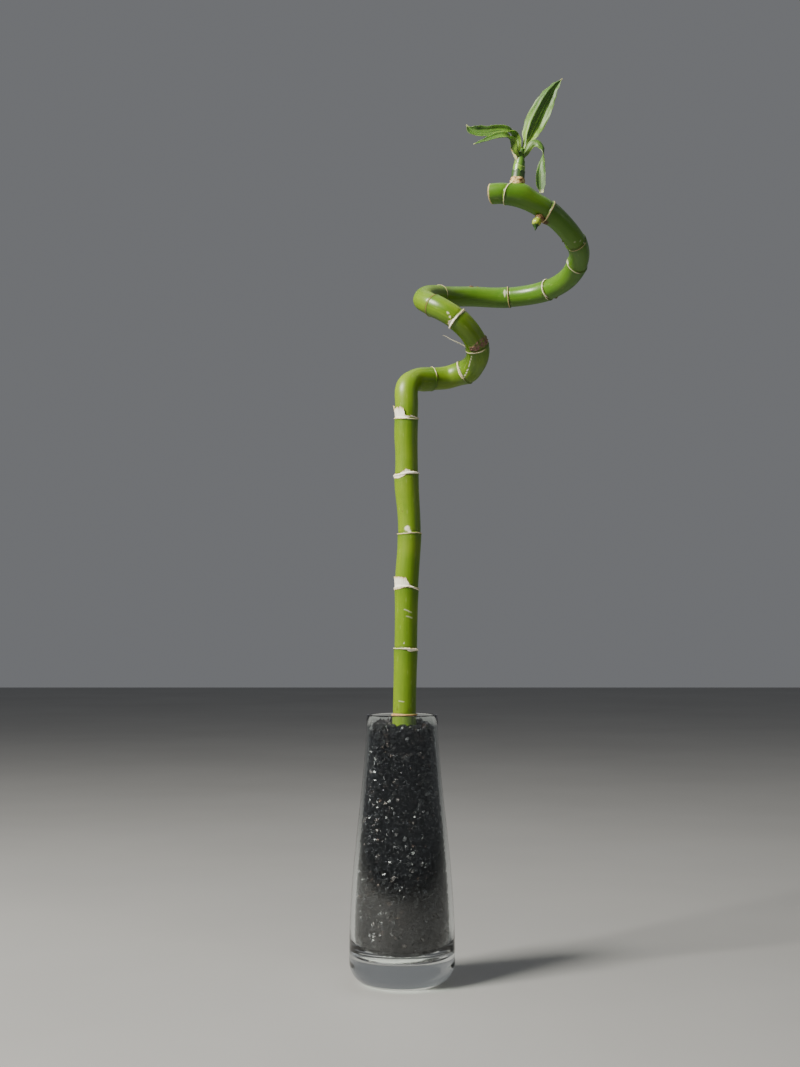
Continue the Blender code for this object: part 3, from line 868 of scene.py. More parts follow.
def ring_offset(number, angle):
    """How far a leaf scar wanders up and down as it goes round the cane: its lean, and small ripples."""
    lean, high_side = RINGS[number][1:3]
    dice = np.random.default_rng(100 + number)
    ripple = dice.uniform(0.05, 0.18)
    shift, other = dice.uniform(0, TURN, 2)
    wander = ripple * np.sin(3 * angle + shift)
    wander += 0.07 * np.sin(11 * angle + other) + 0.05 * np.sin(23 * angle)
    return (lean * np.cos(turned_from(angle, high_side)) + wander) * MM


def add_rings(distance, angle, marks):
    """Swell the cane up to each scar, raise its lip, sink a furrow above it, and note its colours, its
    painted shade in the furrow and its painted shadow under the lip.
    """
    for number, (_, _, _, half_width, tone, side, spread) in enumerate(RINGS):
        above = distance - NODES[number] - ring_offset(number, angle)
        turned = np.abs(turned_from(angle, side))
        plain = 1 - soft_step(turned, math.radians(spread), math.radians(spread + 30))
        under = 1 - soft_step(above, *NODE_SHOULDER)
        below = np.clip(above, None, 0)
        marks["relief"] += NODE_SWELLING * under * np.exp(below / NODE_SWELLING_LENGTH)
        # painted shadow: a deeper green just under each ring's lip
        marks["fresh"] = np.maximum(marks["fresh"], under * np.exp(below / RING_SHADOW_LENGTH))
        marks["relief"] += (RING_LIP[0] + RING_LIP[1] * plain) * bell(above, 0, 1.25 * half_width * MM)
        marks["relief"] -= 0.16 * MM * bell(above, 1.1 * MM, 0.6 * MM)
        marks["relief"] -= 0.10 * MM * bell(above, -1.6 * MM, 1.4 * MM)
        share = bell(above, 0, half_width * MM) * (0.25 + 0.75 * plain)
        marks["ring_tone"] = np.where(share > marks["ring"], tone + 0.4 * (1 - plain), marks["ring_tone"])
        marks["ring"] = np.maximum(marks["ring"], share)
        # painted shade in the furrow just above each ring
        marks["groove"] = np.maximum(marks["groove"], bell(above, 1.0 * MM, 0.8 * MM))


# %% [markdown]
# Between the rings, the years leave other marks: pale scars, two scratches, the seam where a sheath's
# edges met, and dark nubs where roots or buds began. One node on the coil has a whole crust of such
# beginnings. Each mark is a round spot or a line, placed by its distance along the cane and its angle.

# %% Spots, lines and a crust
# Distance, angle, half length and half width in millimetres, height, and strength
PALE_SPOTS = (
    (295.6, -14, 2.4, 2.3, 0.14, 1.0), (293.6, 0, 1.2, 1.6, 0.10, 1.0), (533.2, 134, 1.0, 0.8, 0.05, 0.9),
    (530.9, 122, 0.8, 0.9, 0.05, 0.9), (669.8, -102, 1.3, 3.6, 0.06, 0.55), (793.6, 4, 0.7, 0.9, 0.08, 0.35),
    (791.0, 32, 0.6, 1.2, 0.08, 0.35), (786.5, 44, 1.1, 0.6, 0.06, 0.35), (785.5, -48, 0.6, 1.6, 0.06, 0.35),
    (209.0, -10, 0.8, 0.7, 0.05, 0.7), (384.5, -60, 2.0, 1.6, 0.05, 0.6))
BROWN_SPOTS = (
    (159.4, -40, 1.3, 0.8, 0.12, 0.6), (158.6, 22, 1.0, 0.6, 0.10, 0.5), (296.4, -34, 0.7, 0.4, 0.12, 0.7),
    (293.4, -33, 0.5, 0.3, 0.10, 0.7), (298.4, -10, 0.4, 0.5, 0.10, 0.7), (309.0, -34, 0.6, 0.6, 0.05, 0.8),
    (435.8, 40, 0.8, 0.6, 0.15, 0.8), (641.0, -162, 2.4, 2.0, 0.95, 1.0), (646.5, -166, 1.3, 1.0, 0.50, 1.0),
    (711.5, 18, 1.8, 1.5, 1.05, 1.0), (794.6, -76, 1.3, 1.1, 0.90, 1.0), (790.6, -80, 0.9, 0.9, 0.55, 1.0),
    (705.2, -60, 0.8, 0.9, 0.25, 0.9), (823.6, -44, 3.2, 3.6, 0.40, 0.9), (826.5, -20, 1.2, 1.8, 0.20, 0.6))
# Points of distance and angle, half width in millimetres, height, and strength
PALE_LINES = (
    (((234.2, -9), (231.9, 27)), 0.36, 0.04, 0.5), (((229.2, 2), (227.8, 31)), 0.40, 0.04, 0.45),
    (((465.6, 92), (475.2, 75), (486.0, 68), (495.0, 80)), 0.26, 0.12, 0.95),
    (((466.0, 20), (466.9, 50), (467.0, 80)), 0.30, 0.12, 0.9),
    (((165.4, -32), (164.8, -6)), 0.34, 0.03, 0.5),
    (((541.0, 20), (546.5, 60)), 0.30, 0.05, 0.5))
CRUST = (500.6, 148, 4.6, 68)       # its lower edge, middle angle, height on the near side, half angle
CRUST_BUMPS = 190
CRUST_BUMP, SMALL_BUMP = 0.34, 0.13     # heights of root beginnings in millimetres


def add_spots(distance, angle, marks):
    """Round spots with ragged rims, each a little raised."""
    for name, spots in (("pale", PALE_SPOTS), ("brown", BROWN_SPOTS)):
        for at, side, half_length, half_width, height, strength in spots:
            across = turned_from(angle, side) * plain_radius(at * MM) / (half_width * MM)
            reach = np.hypot((distance - at * MM) / (half_length * MM), across)
            ragged = 0.12 * np.sin(7 * np.arctan2(across, distance - at * MM + 1e-9) + at)
            share = strength * (1 - soft_step(reach + ragged, 0.6, 1.1))
            marks[name] = np.maximum(marks[name], share)
            marks["relief"] += height * MM * (1 - soft_step(reach, 0.0, 1.15))


def add_lines(distance, angle, marks):
    """Raised pale lines from point to point."""
    for points, half_width, height, strength in PALE_LINES:
        for (at, side), (end, end_side) in zip(points, points[1:]):
            radius = plain_radius(at * MM)
            run = np.array([(end - at) * MM, math.radians(end_side - side) * radius])
            along = distance - at * MM
            across = turned_from(angle, side) * radius
            part = np.clip((along * run[0] + across * run[1]) / (run @ run), 0, 1)
            away = np.hypot(along - part * run[0], across - part * run[1]) / (half_width * MM)
            share = 1 - soft_step(away, 0.5, 1.4)
            marks["pale"] = np.maximum(marks["pale"], strength * share)
            marks["relief"] += height * MM * share


def add_bumps(distance, angle, marks):
    """Root beginnings: a few small ones above each node, and the crust of them at one."""
    dice = np.random.default_rng(21)
    bumps = []
    for node in NODES:
        for _ in range(dice.integers(2, 6)):
            place = node + dice.uniform(2.0, 4.5) * MM
            bumps.append((place, dice.uniform(0, TURN), dice.uniform(0.45, 0.75), SMALL_BUMP))
    low, middle, rise, spread = CRUST
    for _ in range(CRUST_BUMPS):
        side = middle + dice.uniform(-1, 1) * spread
        top = rise * math.cos(math.radians(side - middle) * 0.9) + 0.8
        place = (low + dice.uniform(0, 1) ** 1.3 * top) * MM
        bumps.append((place, math.radians(side), dice.uniform(0.3, 0.6), CRUST_BUMP))
    for at, facing, size, height in bumps:
        near = np.abs(distance - at) < 4 * size * MM
        turned = (angle[near] - facing + math.pi) % TURN - math.pi
        reach = np.hypot(distance[near] - at, turned * plain_radius(distance[near])) / (size * MM)
        share = np.exp(-reach ** 2)
        marks["relief"][near] += height * MM * share
        if height == CRUST_BUMP:
            marks["crust"][near] = np.maximum(marks["crust"][near], np.clip(1.5 * share, 0, 1))
        else:
            marks["brown"][near] = np.maximum(marks["brown"][near], 0.35 * share)


# %% The straight cane
AROUND = 72
NODE_REACH = 4.4 * MM
NODE_STEP = 0.25 * MM
PLAIN_STEP = 3.0 * MM
CANE_RADIUS_LOW = 8.75 * MM
CANE_RADIUS_TOP = 7.55 * MM
CANE_TAPER = 1.6
CUT_SLANT = 0.24                    # the top was cut off a little aslant
CUT_RIM = 0.9 * MM
# The rows over a cut end: their share of the radius, and how far they stand out in millimetres
CUT_ROWS = ((0.985, 0.0), (0.955, 0.25), (0.90, 0.30), (0.78, 0.20), (0.6, 0.12), (0.4, 0.15),
            (0.2, 0.18), (0.004, 0.2))


# Other stretches with small marks: start, end and the step of their rows, in metres
MARKED_STRETCHES = (
    (0.1635, 0.1665, 0.3 * MM), (0.308, 0.310, 0.3 * MM), (0.531, 0.5355, 0.4 * MM),
    (0.540, 0.5435, 0.4 * MM), (0.226, 0.236, 0.4 * MM), (0.2966, 0.2995, 0.3 * MM),
    (0.4962, 0.5064, 0.3 * MM), (0.467, 0.4925, 0.6 * MM), (0.6375, 0.6485, 0.4 * MM),
    (0.709, 0.715, 0.4 * MM), (0.788, 0.797, 0.4 * MM),
    (cane_line.length - 3 * MM, cane_line.length, 0.3 * MM))
BURIED = 0.14                       # nodes lower than this, in metres, hide in the gravel


def cane_stations():
    """Distances of the rows: close together at the nodes and other marks, wider between them."""
    stations = set(np.arange(0, cane_line.length, PLAIN_STEP))
    fine = [(node - NODE_REACH, node + NODE_REACH, NODE_STEP) for node in NODES if node > BURIED]
    for start, end, step in fine + list(MARKED_STRETCHES):
        stations = {station for station in stations if not start - step / 2 < station < end + step / 2}
        stations |= set(np.arange(start, min(end, cane_line.length), step))
    return np.array(sorted(stations | {cane_line.length}))


def plain_radius(distance):
    """The taper of the cane, before its nodes and marks."""
    share = np.clip(distance / cane_line.length, 0, 1)
    return CANE_RADIUS_LOW + (CANE_RADIUS_TOP - CANE_RADIUS_LOW) * share ** CANE_TAPER


# %% Roll the cane, mark it and bend it
MARK_NAMES = ("ring", "ring_tone", "groove", "fresh", "pale", "brown", "crust")


def cane_marks(distance, angle):
    """The height of the skin over the plain radius, and how strongly each kind of mark shows."""
    marks = {name: np.zeros_like(distance) for name in MARK_NAMES}
    marks["relief"] = 0.06 * MM * np.sin(2 * angle + 35 * distance) + swollen(distance, angle)
    marks["relief"] += 0.04 * MM * np.sin(5 * angle - 20 * distance)
    for add_marks in (add_rings, add_spots, add_lines, add_bumps):
        add_marks(distance, angle, marks)
    return marks


def straight_places(distance, angle, radius):
    """Where points were before the piece was bent, for its finish to read."""
    return np.stack([radius * np.cos(angle), radius * np.sin(angle), distance], axis=1)


def make_cane():
    rows = [(0.0, share, -rise) for share, rise in reversed(CUT_ROWS)]
    rows += [(station, 1.0, 0.0) for station in cane_stations()]
    rows += [(cane_line.length, share, rise) for share, rise in CUT_ROWS]
    cane, across, along = sheet("cane_stalk", AROUND, len(rows) - 1)
    row = np.rint(along * (len(rows) - 1)).astype(int)
    distance, share, rise = np.array(rows)[row].T
    angle = across * math.pi
    marks = cane_marks(distance, angle)
    cut = share < 1
    radius = plain_radius(distance) * share + np.where(cut, 0, marks["relief"])
    keep_values(cane.data, "grown", straight_places(distance, angle, radius))
    for name in MARK_NAMES:
        keep_values(cane.data, name, np.where(cut, 0, marks[name]))
    keep_values(cane.data, "cut", np.where(cut | (distance > cane_line.length - CUT_RIM), 1.0, 0.0))
    out = cane_line.outward(distance, angle)
    slant = CUT_SLANT * radius * (-out[:, 1] - 1.2)
    slant *= soft_step(distance, cane_line.length - 6 * MM, cane_line.length)
    set_corners(cane.data, cane_line.at(distance + rise * MM + slant) + out * radius[:, None])
    tidy_mesh(cane, 0.02 * MM)
    return cane


cane = make_cane()


# %% [markdown]
# The skin of the cane is a waxy green that goes from yellow to deep green in long streaks, with short
# pale dashes of cork. On the stem and the lower coil its left side, where the key light falls, is painted
# yellower: painted light. At each node the scar of the old leaf is a thin cream ring, painted a deeper green
# under it as the shadow of its lip, with painted shade in the furrow above it. The cut end shows tan wood.
# All the patterns read the straight cane's places and the marks kept on it, and each mark lays its own
# paint over those before it.

# %% Cane finish
def make_cane_skin():
    material, tree, shader = new_material("waxy_green_cane")
    grown = attribute(tree, "grown", "Vector")
    streaks = drawn_noise(tree, grown, (1.0, 1.0, 0.07), 520.0, 5.0, 0.62)
    spots = place_group(tree, mottle, Place=grown, Patch_Scale=30.0, Speck_Scale=520.0)
    patches = spots.outputs["Patches"]
    greens = ramp(tree, streaks, ((0.30, (0.080, 0.165, 0.005)), (0.50, (0.100, 0.190, 0.006)),
                                  (0.72, (0.130, 0.225, 0.007))))
    straight = add_node(tree, "SeparateXYZ", Vector=grown)
    side, height = straight.outputs["Y"], straight.outputs["Z"]
    # The left side of the stem and lower coil is painted yellower, where the key light falls: painted light.
    painted_lit_side = calculated(tree, "MULTIPLY", scaled(tree, side, -0.009, 0.002, 0.34, 0.0),
                       scaled(tree, height, 0.56, 0.60, 1.0, 0.0))
    dash_place = add_node(tree, "Mapping", Vector=grown, Scale=(1.0, 1.0, 0.28))
    dashes = add_node(tree, "TexVoronoi", Vector=dash_place.outputs["Vector"], Scale=300.0, Randomness=1.0)
    grain = scaled(tree, streaks, 0.3, 0.7)
    crust = ramp(tree, grain, ((0.0, (0.10, 0.045, 0.038)), (1.0, (0.33, 0.17, 0.14))))
    wood = ramp(tree, grain, ((0.0, (0.36, 0.26, 0.11)), (1.0, (0.60, 0.52, 0.26))))
    scar = ramp(tree, attribute(tree, "ring_tone"), ((0.1, (0.74, 0.66, 0.42)), (0.5, (0.46, 0.26, 0.09)),
                                                     (0.9, (0.075, 0.045, 0.018))))
    colour = tinted(
        tree, greens,
        (patches, (0.3, 1.0, 0.0, 0.5), (0.175, 0.255, 0.008)),
        (height, (0.57, 0.64, 0.0, 0.55), (0.040, 0.145, 0.010)),
        # painted light: the lit left side of the stem, yellower
        (painted_lit_side, None, (0.250, 0.350, 0.006)),
        # painted shadow just under each ring
        (attribute(tree, "fresh"), (0.1, 1.0, 0.0, 0.55), (0.035, 0.105, 0.008)),
        (dashes.outputs["Distance"], (0.10, 0.20, 0.22, 0.0), (0.30, 0.38, 0.10)),
        # painted shade in the furrow above each ring
        (attribute(tree, "groove"), (0.2, 0.9, 0.0, 0.45), (0.07, 0.09, 0.012)),
        (attribute(tree, "pale"), None, (0.74, 0.70, 0.52)),
        (attribute(tree, "brown"), None, (0.085, 0.042, 0.020)),
        (attribute(tree, "crust"), None, crust),
        (attribute(tree, "ring"), (0.30, 0.72), scar),
        (attribute(tree, "cut"), None, wood))
    worn = calculated(tree, "MAXIMUM", attribute(tree, "brown"), attribute(tree, "crust"))
    dullness = calculated(tree, "MAXIMUM", scaled(tree, worn, 0.1, 0.6, 0.0, 0.7),
                          scaled(tree, patches, 0.0, 1.0, 0.30, 0.42))
    finish(tree, shader, colour, dullness, bumped(tree, streaks, 0.18, 0.0003))
    shader.inputs["Specular IOR Level"].default_value = 0.4
    let_light_in(shader, 0.10, (0.7, 1.0, 0.15), 0.002)
    return material


cane_skin = make_cane_skin()
dress(cane, cane_skin, ["cane"], smooth=50)


# %% [markdown]
# ## Papery remnants of sheaths
#
# Each leaf of the young cane wrapped it in a sheath. When the leaf was pulled off, a scrap of the sheath
# stayed on its ring. It is dry and papery, cream to white, torn along its upper edge. Each scrap is a
# sheet laid on the skin of the cane between two edges that are given round the cane, lifted a hair off
# it, torn by a sum of waves, and given the thickness of paper.

# %% Scraps of sheath
PAPER = 0.16 * MM
SCRAP_COLUMN = 1.8                  # degrees round the cane to a column
SCRAP_ROWS = 12
TEAR_LENGTH = 9                     # degrees that set the pace of the waves in a torn edge
CURL_LENGTH = 14                    # and in how far it stands off
# Tone from 0, white, to 1, tan; how far it stands off at the top and how torn it is, in millimetres; and
# its edges: angle, low edge and high edge along the cane
SHEATHS = {
    "sheath_scale_rim": (0.85, 0.1, 0.2, (
        (-120, 154.1, 155.3), (-88, 153.9, 155.7), (-50, 154.0, 155.9), (0, 154.1, 155.4),
        (76, 154.6, 155.5), (118, 154.9, 155.4))),
    "sheath_scale_low": (0.12, 0.35, 0.5, (
        (-20, 204.3, 204.9), (2, 204.0, 205.3), (12, 202.8, 205.3), (24, 202.5, 204.7),
        (48, 203.0, 205.1), (68, 203.3, 204.7), (90, 203.5, 204.8), (116, 203.9, 204.5))),
    "sheath_scale_broad": (0.0, 0.5, 0.5, (
        (-128, 249.4, 250.4), (-108, 248.7, 256.8), (-88, 248.5, 258.7), (-36, 249.5, 258.6),
        (-8, 251.0, 258.2), (4, 251.6, 255.4), (13, 251.5, 252.8), (40, 249.9, 250.9),
        (66, 249.1, 249.9), (88, 248.7, 249.3))),
    "sheath_scale_wavy": (0.05, 0.35, 0.4, (
        (-118, 335.9, 337.2), (-88, 334.9, 338.2), (-42, 334.1, 337.4), (-18, 335.4, 339.7),
        (-2, 337.1, 341.2), (26, 337.2, 339.3), (60, 337.6, 338.8), (88, 337.9, 338.7),
        (110, 338.1, 338.6))),
    "sheath_scale_pointed": (0.0, 0.9, 0.8, (
        (-124, 381.8, 384.0), (-106, 381.5, 387.6), (-97, 381.4, 391.4), (-88, 381.3, 388.6),
        (-76, 380.8, 387.0), (-58, 380.0, 388.2), (-36, 379.5, 388.4), (-18, 379.3, 387.6),
        (-9, 379.6, 382.8), (6, 380.2, 381.8), (22, 381.3, 382.6), (50, 380.7, 381.8),
        (88, 381.1, 381.9))),
    "sheath_scale_coil_low": (0.2, 0.15, 0.2, (
        (-14, 463.2, 464.4), (18, 464.6, 465.6), (42, 465.1, 466.2), (70, 464.8, 465.9),
        (90, 465.2, 465.9))),
    "sheath_scale_coil_mid": (0.05, 0.3, 0.4, (
        (36, 525.0, 525.7), (62, 526.0, 527.0), (82, 526.6, 529.8), (98, 526.9, 530.4),
        (112, 527.0, 529.4), (128, 527.2, 528.1), (152, 526.8, 527.4), (200, 525.6, 526.1),
        (222, 525.2, 525.6))),
    "sheath_scale_coil_high": (0.1, 0.2, 0.3, (
        (-158, 708.6, 709.1), (-132, 707.8, 708.7), (-108, 706.8, 707.9), (-80, 707.0, 707.8),
        (-50, 707.7, 708.3), (-22, 708.0, 708.3))),
}


def waves(values, seed, count=6, slowest=3.0):
    """A ragged line: sines of growing pace and falling size, with random starts."""
    dice = np.random.default_rng(seed)
    total = np.zeros_like(values)
    for number in range(count):
        pace = slowest * 1.7 ** number
        total += np.sin(pace * values + dice.uniform(0, TURN)) * 0.72 ** number
    return total / 2


def make_sheath(number, name, tone, lift, torn, edges):
    """A scrap that lies on the marked skin of the cane, between its two edges."""
    sides, lows, highs = np.array(edges).T
    piece, across, along = sheet(name + "_paper", int((sides[-1] - sides[0]) / SCRAP_COLUMN), SCRAP_ROWS)
    side = sides[0] + (sides[-1] - sides[0]) * (across + 1) / 2
    low = np.interp(side, sides, lows) + 0.10 * waves(side / TEAR_LENGTH, 40 + number)
    high = np.interp(side, sides, highs)
    high += torn * waves(side / TEAR_LENGTH, 60 + number) * np.clip((high - low) / 3, 0.12, 1)
    high = np.maximum(high, low + 0.25)
    distance = (low + (high - low) * along) * MM
    angle = np.radians(side)
    loose = along ** 2 * np.clip((high - low) / 6, 0, 1)
    stand = 0.10 + lift * loose * (1 + 0.5 * waves(side / CURL_LENGTH, 80 + number))
    stand += 0.05 * np.sin(side * 0.9) * along
    skin = plain_radius(distance) + cane_marks(distance, angle)["relief"]
    radius = skin + np.maximum(stand, 0.08) * MM
    out = cane_line.outward(distance, angle)
    set_corners(piece.data, cane_line.at(distance) + out * radius[:, None])
    rim = np.maximum(soft_step(along, 0.80, 1.0), soft_step(np.abs(across), 0.95, 1.0))
    rim = np.maximum(rim, 1 - soft_step(along, 0.0, 0.14))
    keep_values(piece.data, "tone", tone + (1 - tone) * 0.6 * rim)
    keep_values(piece.data, "grown", np.stack([angle * CANE_RADIUS_LOW, radius, distance], axis=1))
    thicken(piece, PAPER, 1.0)
    apply_modifiers(piece)
    return piece


# %% [markdown]
# Dry sheath is matt and fibrous. Fine fibres run along the cane, and the torn edges have gone tan.

# %% Papery finish
def make_paper():
    material, tree, shader = new_material("dry_papery_sheath")
    grown = attribute(tree, "grown", "Vector")
    fibres = drawn_noise(tree, grown, (1.0, 1.0, 0.06), 1500.0, 4.0)
    spots = place_group(tree, mottle, Place=grown, Patch_Scale=260.0, Speck_Scale=1500.0)
    tone = calculated(tree, "ADD", attribute(tree, "tone"), scaled(tree, fibres, 0.35, 0.75, -0.12, 0.30))
    paper = ramp(tree, tone, ((0.0, (0.84, 0.81, 0.68)), (0.35, (0.72, 0.64, 0.42)),
                              (0.75, (0.52, 0.33, 0.13)), (1.0, (0.34, 0.18, 0.07))))
    colour = tinted(tree, paper, (spots.outputs["Specks"], (0.3, 1.0, 0.0, 0.7), (0.20, 0.11, 0.05)))
    dullness = scaled(tree, spots.outputs["Patches"], 0.0, 1.0, 0.55, 0.8)
    finish(tree, shader, colour, dullness, bumped(tree, fibres, 0.5))
    return material


dry_paper = make_paper()
for number, (name, (tone, lift, torn, edges)) in enumerate(SHEATHS.items()):
    dress(make_sheath(number, name, tone, lift, torn, edges), dry_paper, [name], smooth=60)


# %% [markdown]
# ## The dry strand, the bud and the shoot
#
# All three are sheets rolled round a line, like the cane, with a radius that changes along it. The
# strand is a thread of sheath that tore off and sticks out inside the coil. The bud is a round green
# scale with a dark pointed tip, on a tan base. The shoot has a lumpy tan collar where it broke
# through the cane's skin, a dark torn sheath over it, and two green sheaths, one inside the other.

# %% Rolled pieces
def rolled(name, line, rows, around, relief=None):
    """Roll a sheet round a line. Each row has a distance and a radius in metres; relief adds to it."""
    piece, across, along = sheet(name, around, len(rows) - 1)
    row = np.rint(along * (len(rows) - 1)).astype(int)
    distance, radius = np.array(rows)[row].T
    angle = across * math.pi
    if relief is not None:
        radius = radius + relief(distance, angle)
    set_corners(piece.data, line.at(distance) + line.outward(distance, angle) * radius[:, None])
    keep_values(piece.data, "grown", straight_places(distance, angle, radius))
    return piece, distance, angle


def eased_rows(outline, count):
    """Rows at even steps through an outline of (distance, radius) in millimetres, closed at both ends."""
    given = np.array(outline, float)
    places = np.linspace(given[0, 0], given[-1, 0], count)
    radii = Line([(d, r, 0) for d, r in outline])
    marks = np.interp(places * MM, radii.spots[:, 0], radii.spots[:, 1])
    rows = [(places[0] * MM, 0.01 * MM)] + list(zip(places * MM, np.maximum(marks, 0.02 * MM)))
    return rows + [(places[-1] * MM, 0.01 * MM)]


# %% The dry strand
STRAND = ((51.2, -4.0, 478.6, 0.75), (49.2, -4.3, 480.2, 0.62), (47.0, -4.6, 481.6, 0.5),
          (43.7, -5.0, 483.3, 0.55), (41.0, -5.4, 484.4, 0.36), (37.0, -6.0, 486.2, 0.30),
          (34.0, -6.5, 487.9, 0.24), (31.2, -7.0, 489.0, 0.10))


STRAND_ROWS = 60


def make_strand():
    line = Line([row[:3] for row in STRAND])
    share = np.linspace(0, 1, len(STRAND))
    rows = [(d, float(np.interp(d / line.length, share, [row[3] for row in STRAND])) * MM)
            for d in np.linspace(0, line.length, STRAND_ROWS)]
    rows = [(0.0, 0.01 * MM)] + rows + [(line.length, 0.01 * MM)]

    def ribs(distance, angle):
        return 0.12 * MM * np.sin(2 * angle + 300 * distance) * (1 - distance / line.length)

    strand, distance, _ = rolled("dry_strand_fibre", line, rows, 12, ribs)
    keep_values(strand.data, "tone", 0.05 + 0.25 * soft_step(distance, 0.6 * line.length, line.length))
    tidy_mesh(strand, 0.003 * MM)
    return strand


dress(make_strand(), dry_paper, ["dry_strand"], smooth=60)


# %% The bud
BUD_AT = 830 * MM
BUD_WAY = Vector((-0.42, -0.22, -0.88)).normalized()
BUD_OUTLINE = ((0, 2.2), (1.6, 3.0), (3.2, 3.3), (4.4, 2.9), (5.2, 2.8), (6.4, 3.25), (8.0, 3.25),
               (9.4, 2.6), (10.6, 1.75), (11.8, 1.15), (13.0, 0.7), (14.2, 0.25))


BUD_BENDS = ((6.6, 1.4), (9.8, 1.6), (13.4, 1.2), (16.4, 1.6), (18.8, 2.5), (21.0, 3.0))
# The outline is distance and radius, and a bend is the reach from the cane's middle and a shift along X


def make_bud():
    base = Vector(cane_line.at(np.array([BUD_AT]))[0]) / MM
    line = Line([base + BUD_WAY * reach + Vector((bend, 0, 0)) for reach, bend in BUD_BENDS])

    def folds(distance, angle):
        """Two bud scales meet in a line, and the tan base is lumpy."""
        seam = -0.35 * MM * bell(angle, 0.7, 0.10) * soft_step(distance, 4.8 * MM, 5.8 * MM)
        lumps = 0.22 * MM * waves(angle * 1.6 + distance * 900, 5, 4)
        lumps *= 1 - soft_step(distance, 3.8 * MM, 4.8 * MM)
        return seam * (1 - soft_step(distance, 9.4 * MM, 11.4 * MM)) + lumps

    bud, distance, angle = rolled("side_bud_scales", line, eased_rows(BUD_OUTLINE, 60), 40, folds)
    edge = distance / MM + 0.35 * waves(angle * 2, 9, 4)
    keep_values(bud.data, "base", 1 - soft_step(edge, 4.3, 4.9))
    keep_values(bud.data, "tip", soft_step(edge, 9.0, 10.0))
    tidy_mesh(bud, 0.005 * MM)
    return bud


def make_bud_skin():
    material, tree, shader = new_material("bud_scale")
    grown = attribute(tree, "grown", "Vector")
    spots = place_group(tree, mottle, Place=grown, Patch_Scale=500.0, Speck_Scale=1600.0)
    base = attribute(tree, "base")
    green = ramp(tree, spots.outputs["Patches"], ((0.0, (0.20, 0.30, 0.02)), (1.0, (0.40, 0.46, 0.035))))
    tan = ramp(tree, spots.outputs["Patches"], ((0.2, (0.12, 0.055, 0.018)), (1.0, (0.36, 0.25, 0.08))))
    colour = tinted(tree, green, (attribute(tree, "tip"), None, (0.022, 0.060, 0.010)), (base, None, tan))
    bumps = place_group(tree, fine_bumps, Place=grown, Scale=1100.0, Strength=0.4)
    finish(tree, shader, colour, scaled(tree, base, 0.0, 1.0, 0.30, 0.75), bumps.outputs["Normal"])
    return material


dress(make_bud(), make_bud_skin(), ["side_bud"], smooth=60)


# %% The shoot
# X, Y and height of its line, then radii along it, all in millimetres
SHOOT_ROUTE = ((84.6, -58.8, 584), (85.0, -58.8, 594), (86.2, -58.5, 604), (87.6, -58.1, 612),
               (88.6, -57.9, 619))
SHOOT_OUTLINE = ((0, 4.6), (5.6, 5.0), (7.4, 5.3), (9.0, 5.4), (10.4, 5.2), (11.4, 4.95), (12.4, 4.9),
                 (17.0, 4.85), (20.0, 4.75), (24.0, 4.35), (28.0, 3.75), (31.0, 3.1), (33.6, 2.3),
                 (35.2, 1.2))
SHOOT_AROUND = 96
SHOOT_ROWS = 190


def collar_edge(angle):
    return (11.0 + 0.5 * waves(angle * 2, 31)) * MM


def torn_edge(angle):
    """The zigzag upper edge of the dark sheath."""
    teeth = np.abs((angle * 7 / TURN + 0.3) % 1 - 0.5) * 2
    return (15.2 + 2.0 * teeth + 0.5 * waves(angle * 2, 32)) * MM


def outer_edge(angle):
    return (23.0 + 3.4 * np.cos(turned_from(angle, -150)) + 0.2 * waves(angle * 2, 33)) * MM


def inner_edge(angle):
    return (24.5 + 7.0 * np.clip(np.cos(turned_from(angle, -12)), 0, 1) ** 3
            + 6.0 * np.clip(np.cos(turned_from(angle, 165)), 0, 1) ** 3) * MM


def shoot_relief(distance, angle):
    relief = 0.28 * MM * waves(angle * 2.5 + 700 * distance, 35, 5) * bell(distance, 8.8 * MM, 2.2 * MM)
    for edge, drop in ((torn_edge, 0.34), (outer_edge, 0.34), (inner_edge, 0.40)):
        relief = relief - drop * MM * soft_step(distance, edge(angle), edge(angle) + 0.22 * MM)
        relief = relief + 0.12 * MM * bell(distance, edge(angle) - 0.25 * MM, 0.3 * MM)
    margin = bell(turned_from(angle, 38 + 900 * (distance - 0.016)), 0, 0.05)
    return relief - 0.25 * MM * margin * soft_step(distance, torn_edge(angle), torn_edge(angle) + MM)


def make_shoot():
    line = Line(SHOOT_ROUTE)
    shoot, distance, angle = rolled("side_shoot_sheaths", line, eased_rows(SHOOT_OUTLINE, SHOOT_ROWS),
                                    SHOOT_AROUND, shoot_relief)
    edges = [edge(angle) for edge in (collar_edge, torn_edge, outer_edge, inner_edge)]
    layer = sum(soft_step(distance, edge - 0.1 * MM, edge + 0.15 * MM) for edge in edges)
    keep_values(shoot.data, "layer", layer)
    keep_values(shoot.data, "rim", sum(bell(distance, edge - 0.2 * MM, 0.32 * MM) for edge in edges[2:]))
    tidy_mesh(shoot, 0.005 * MM)
    return shoot


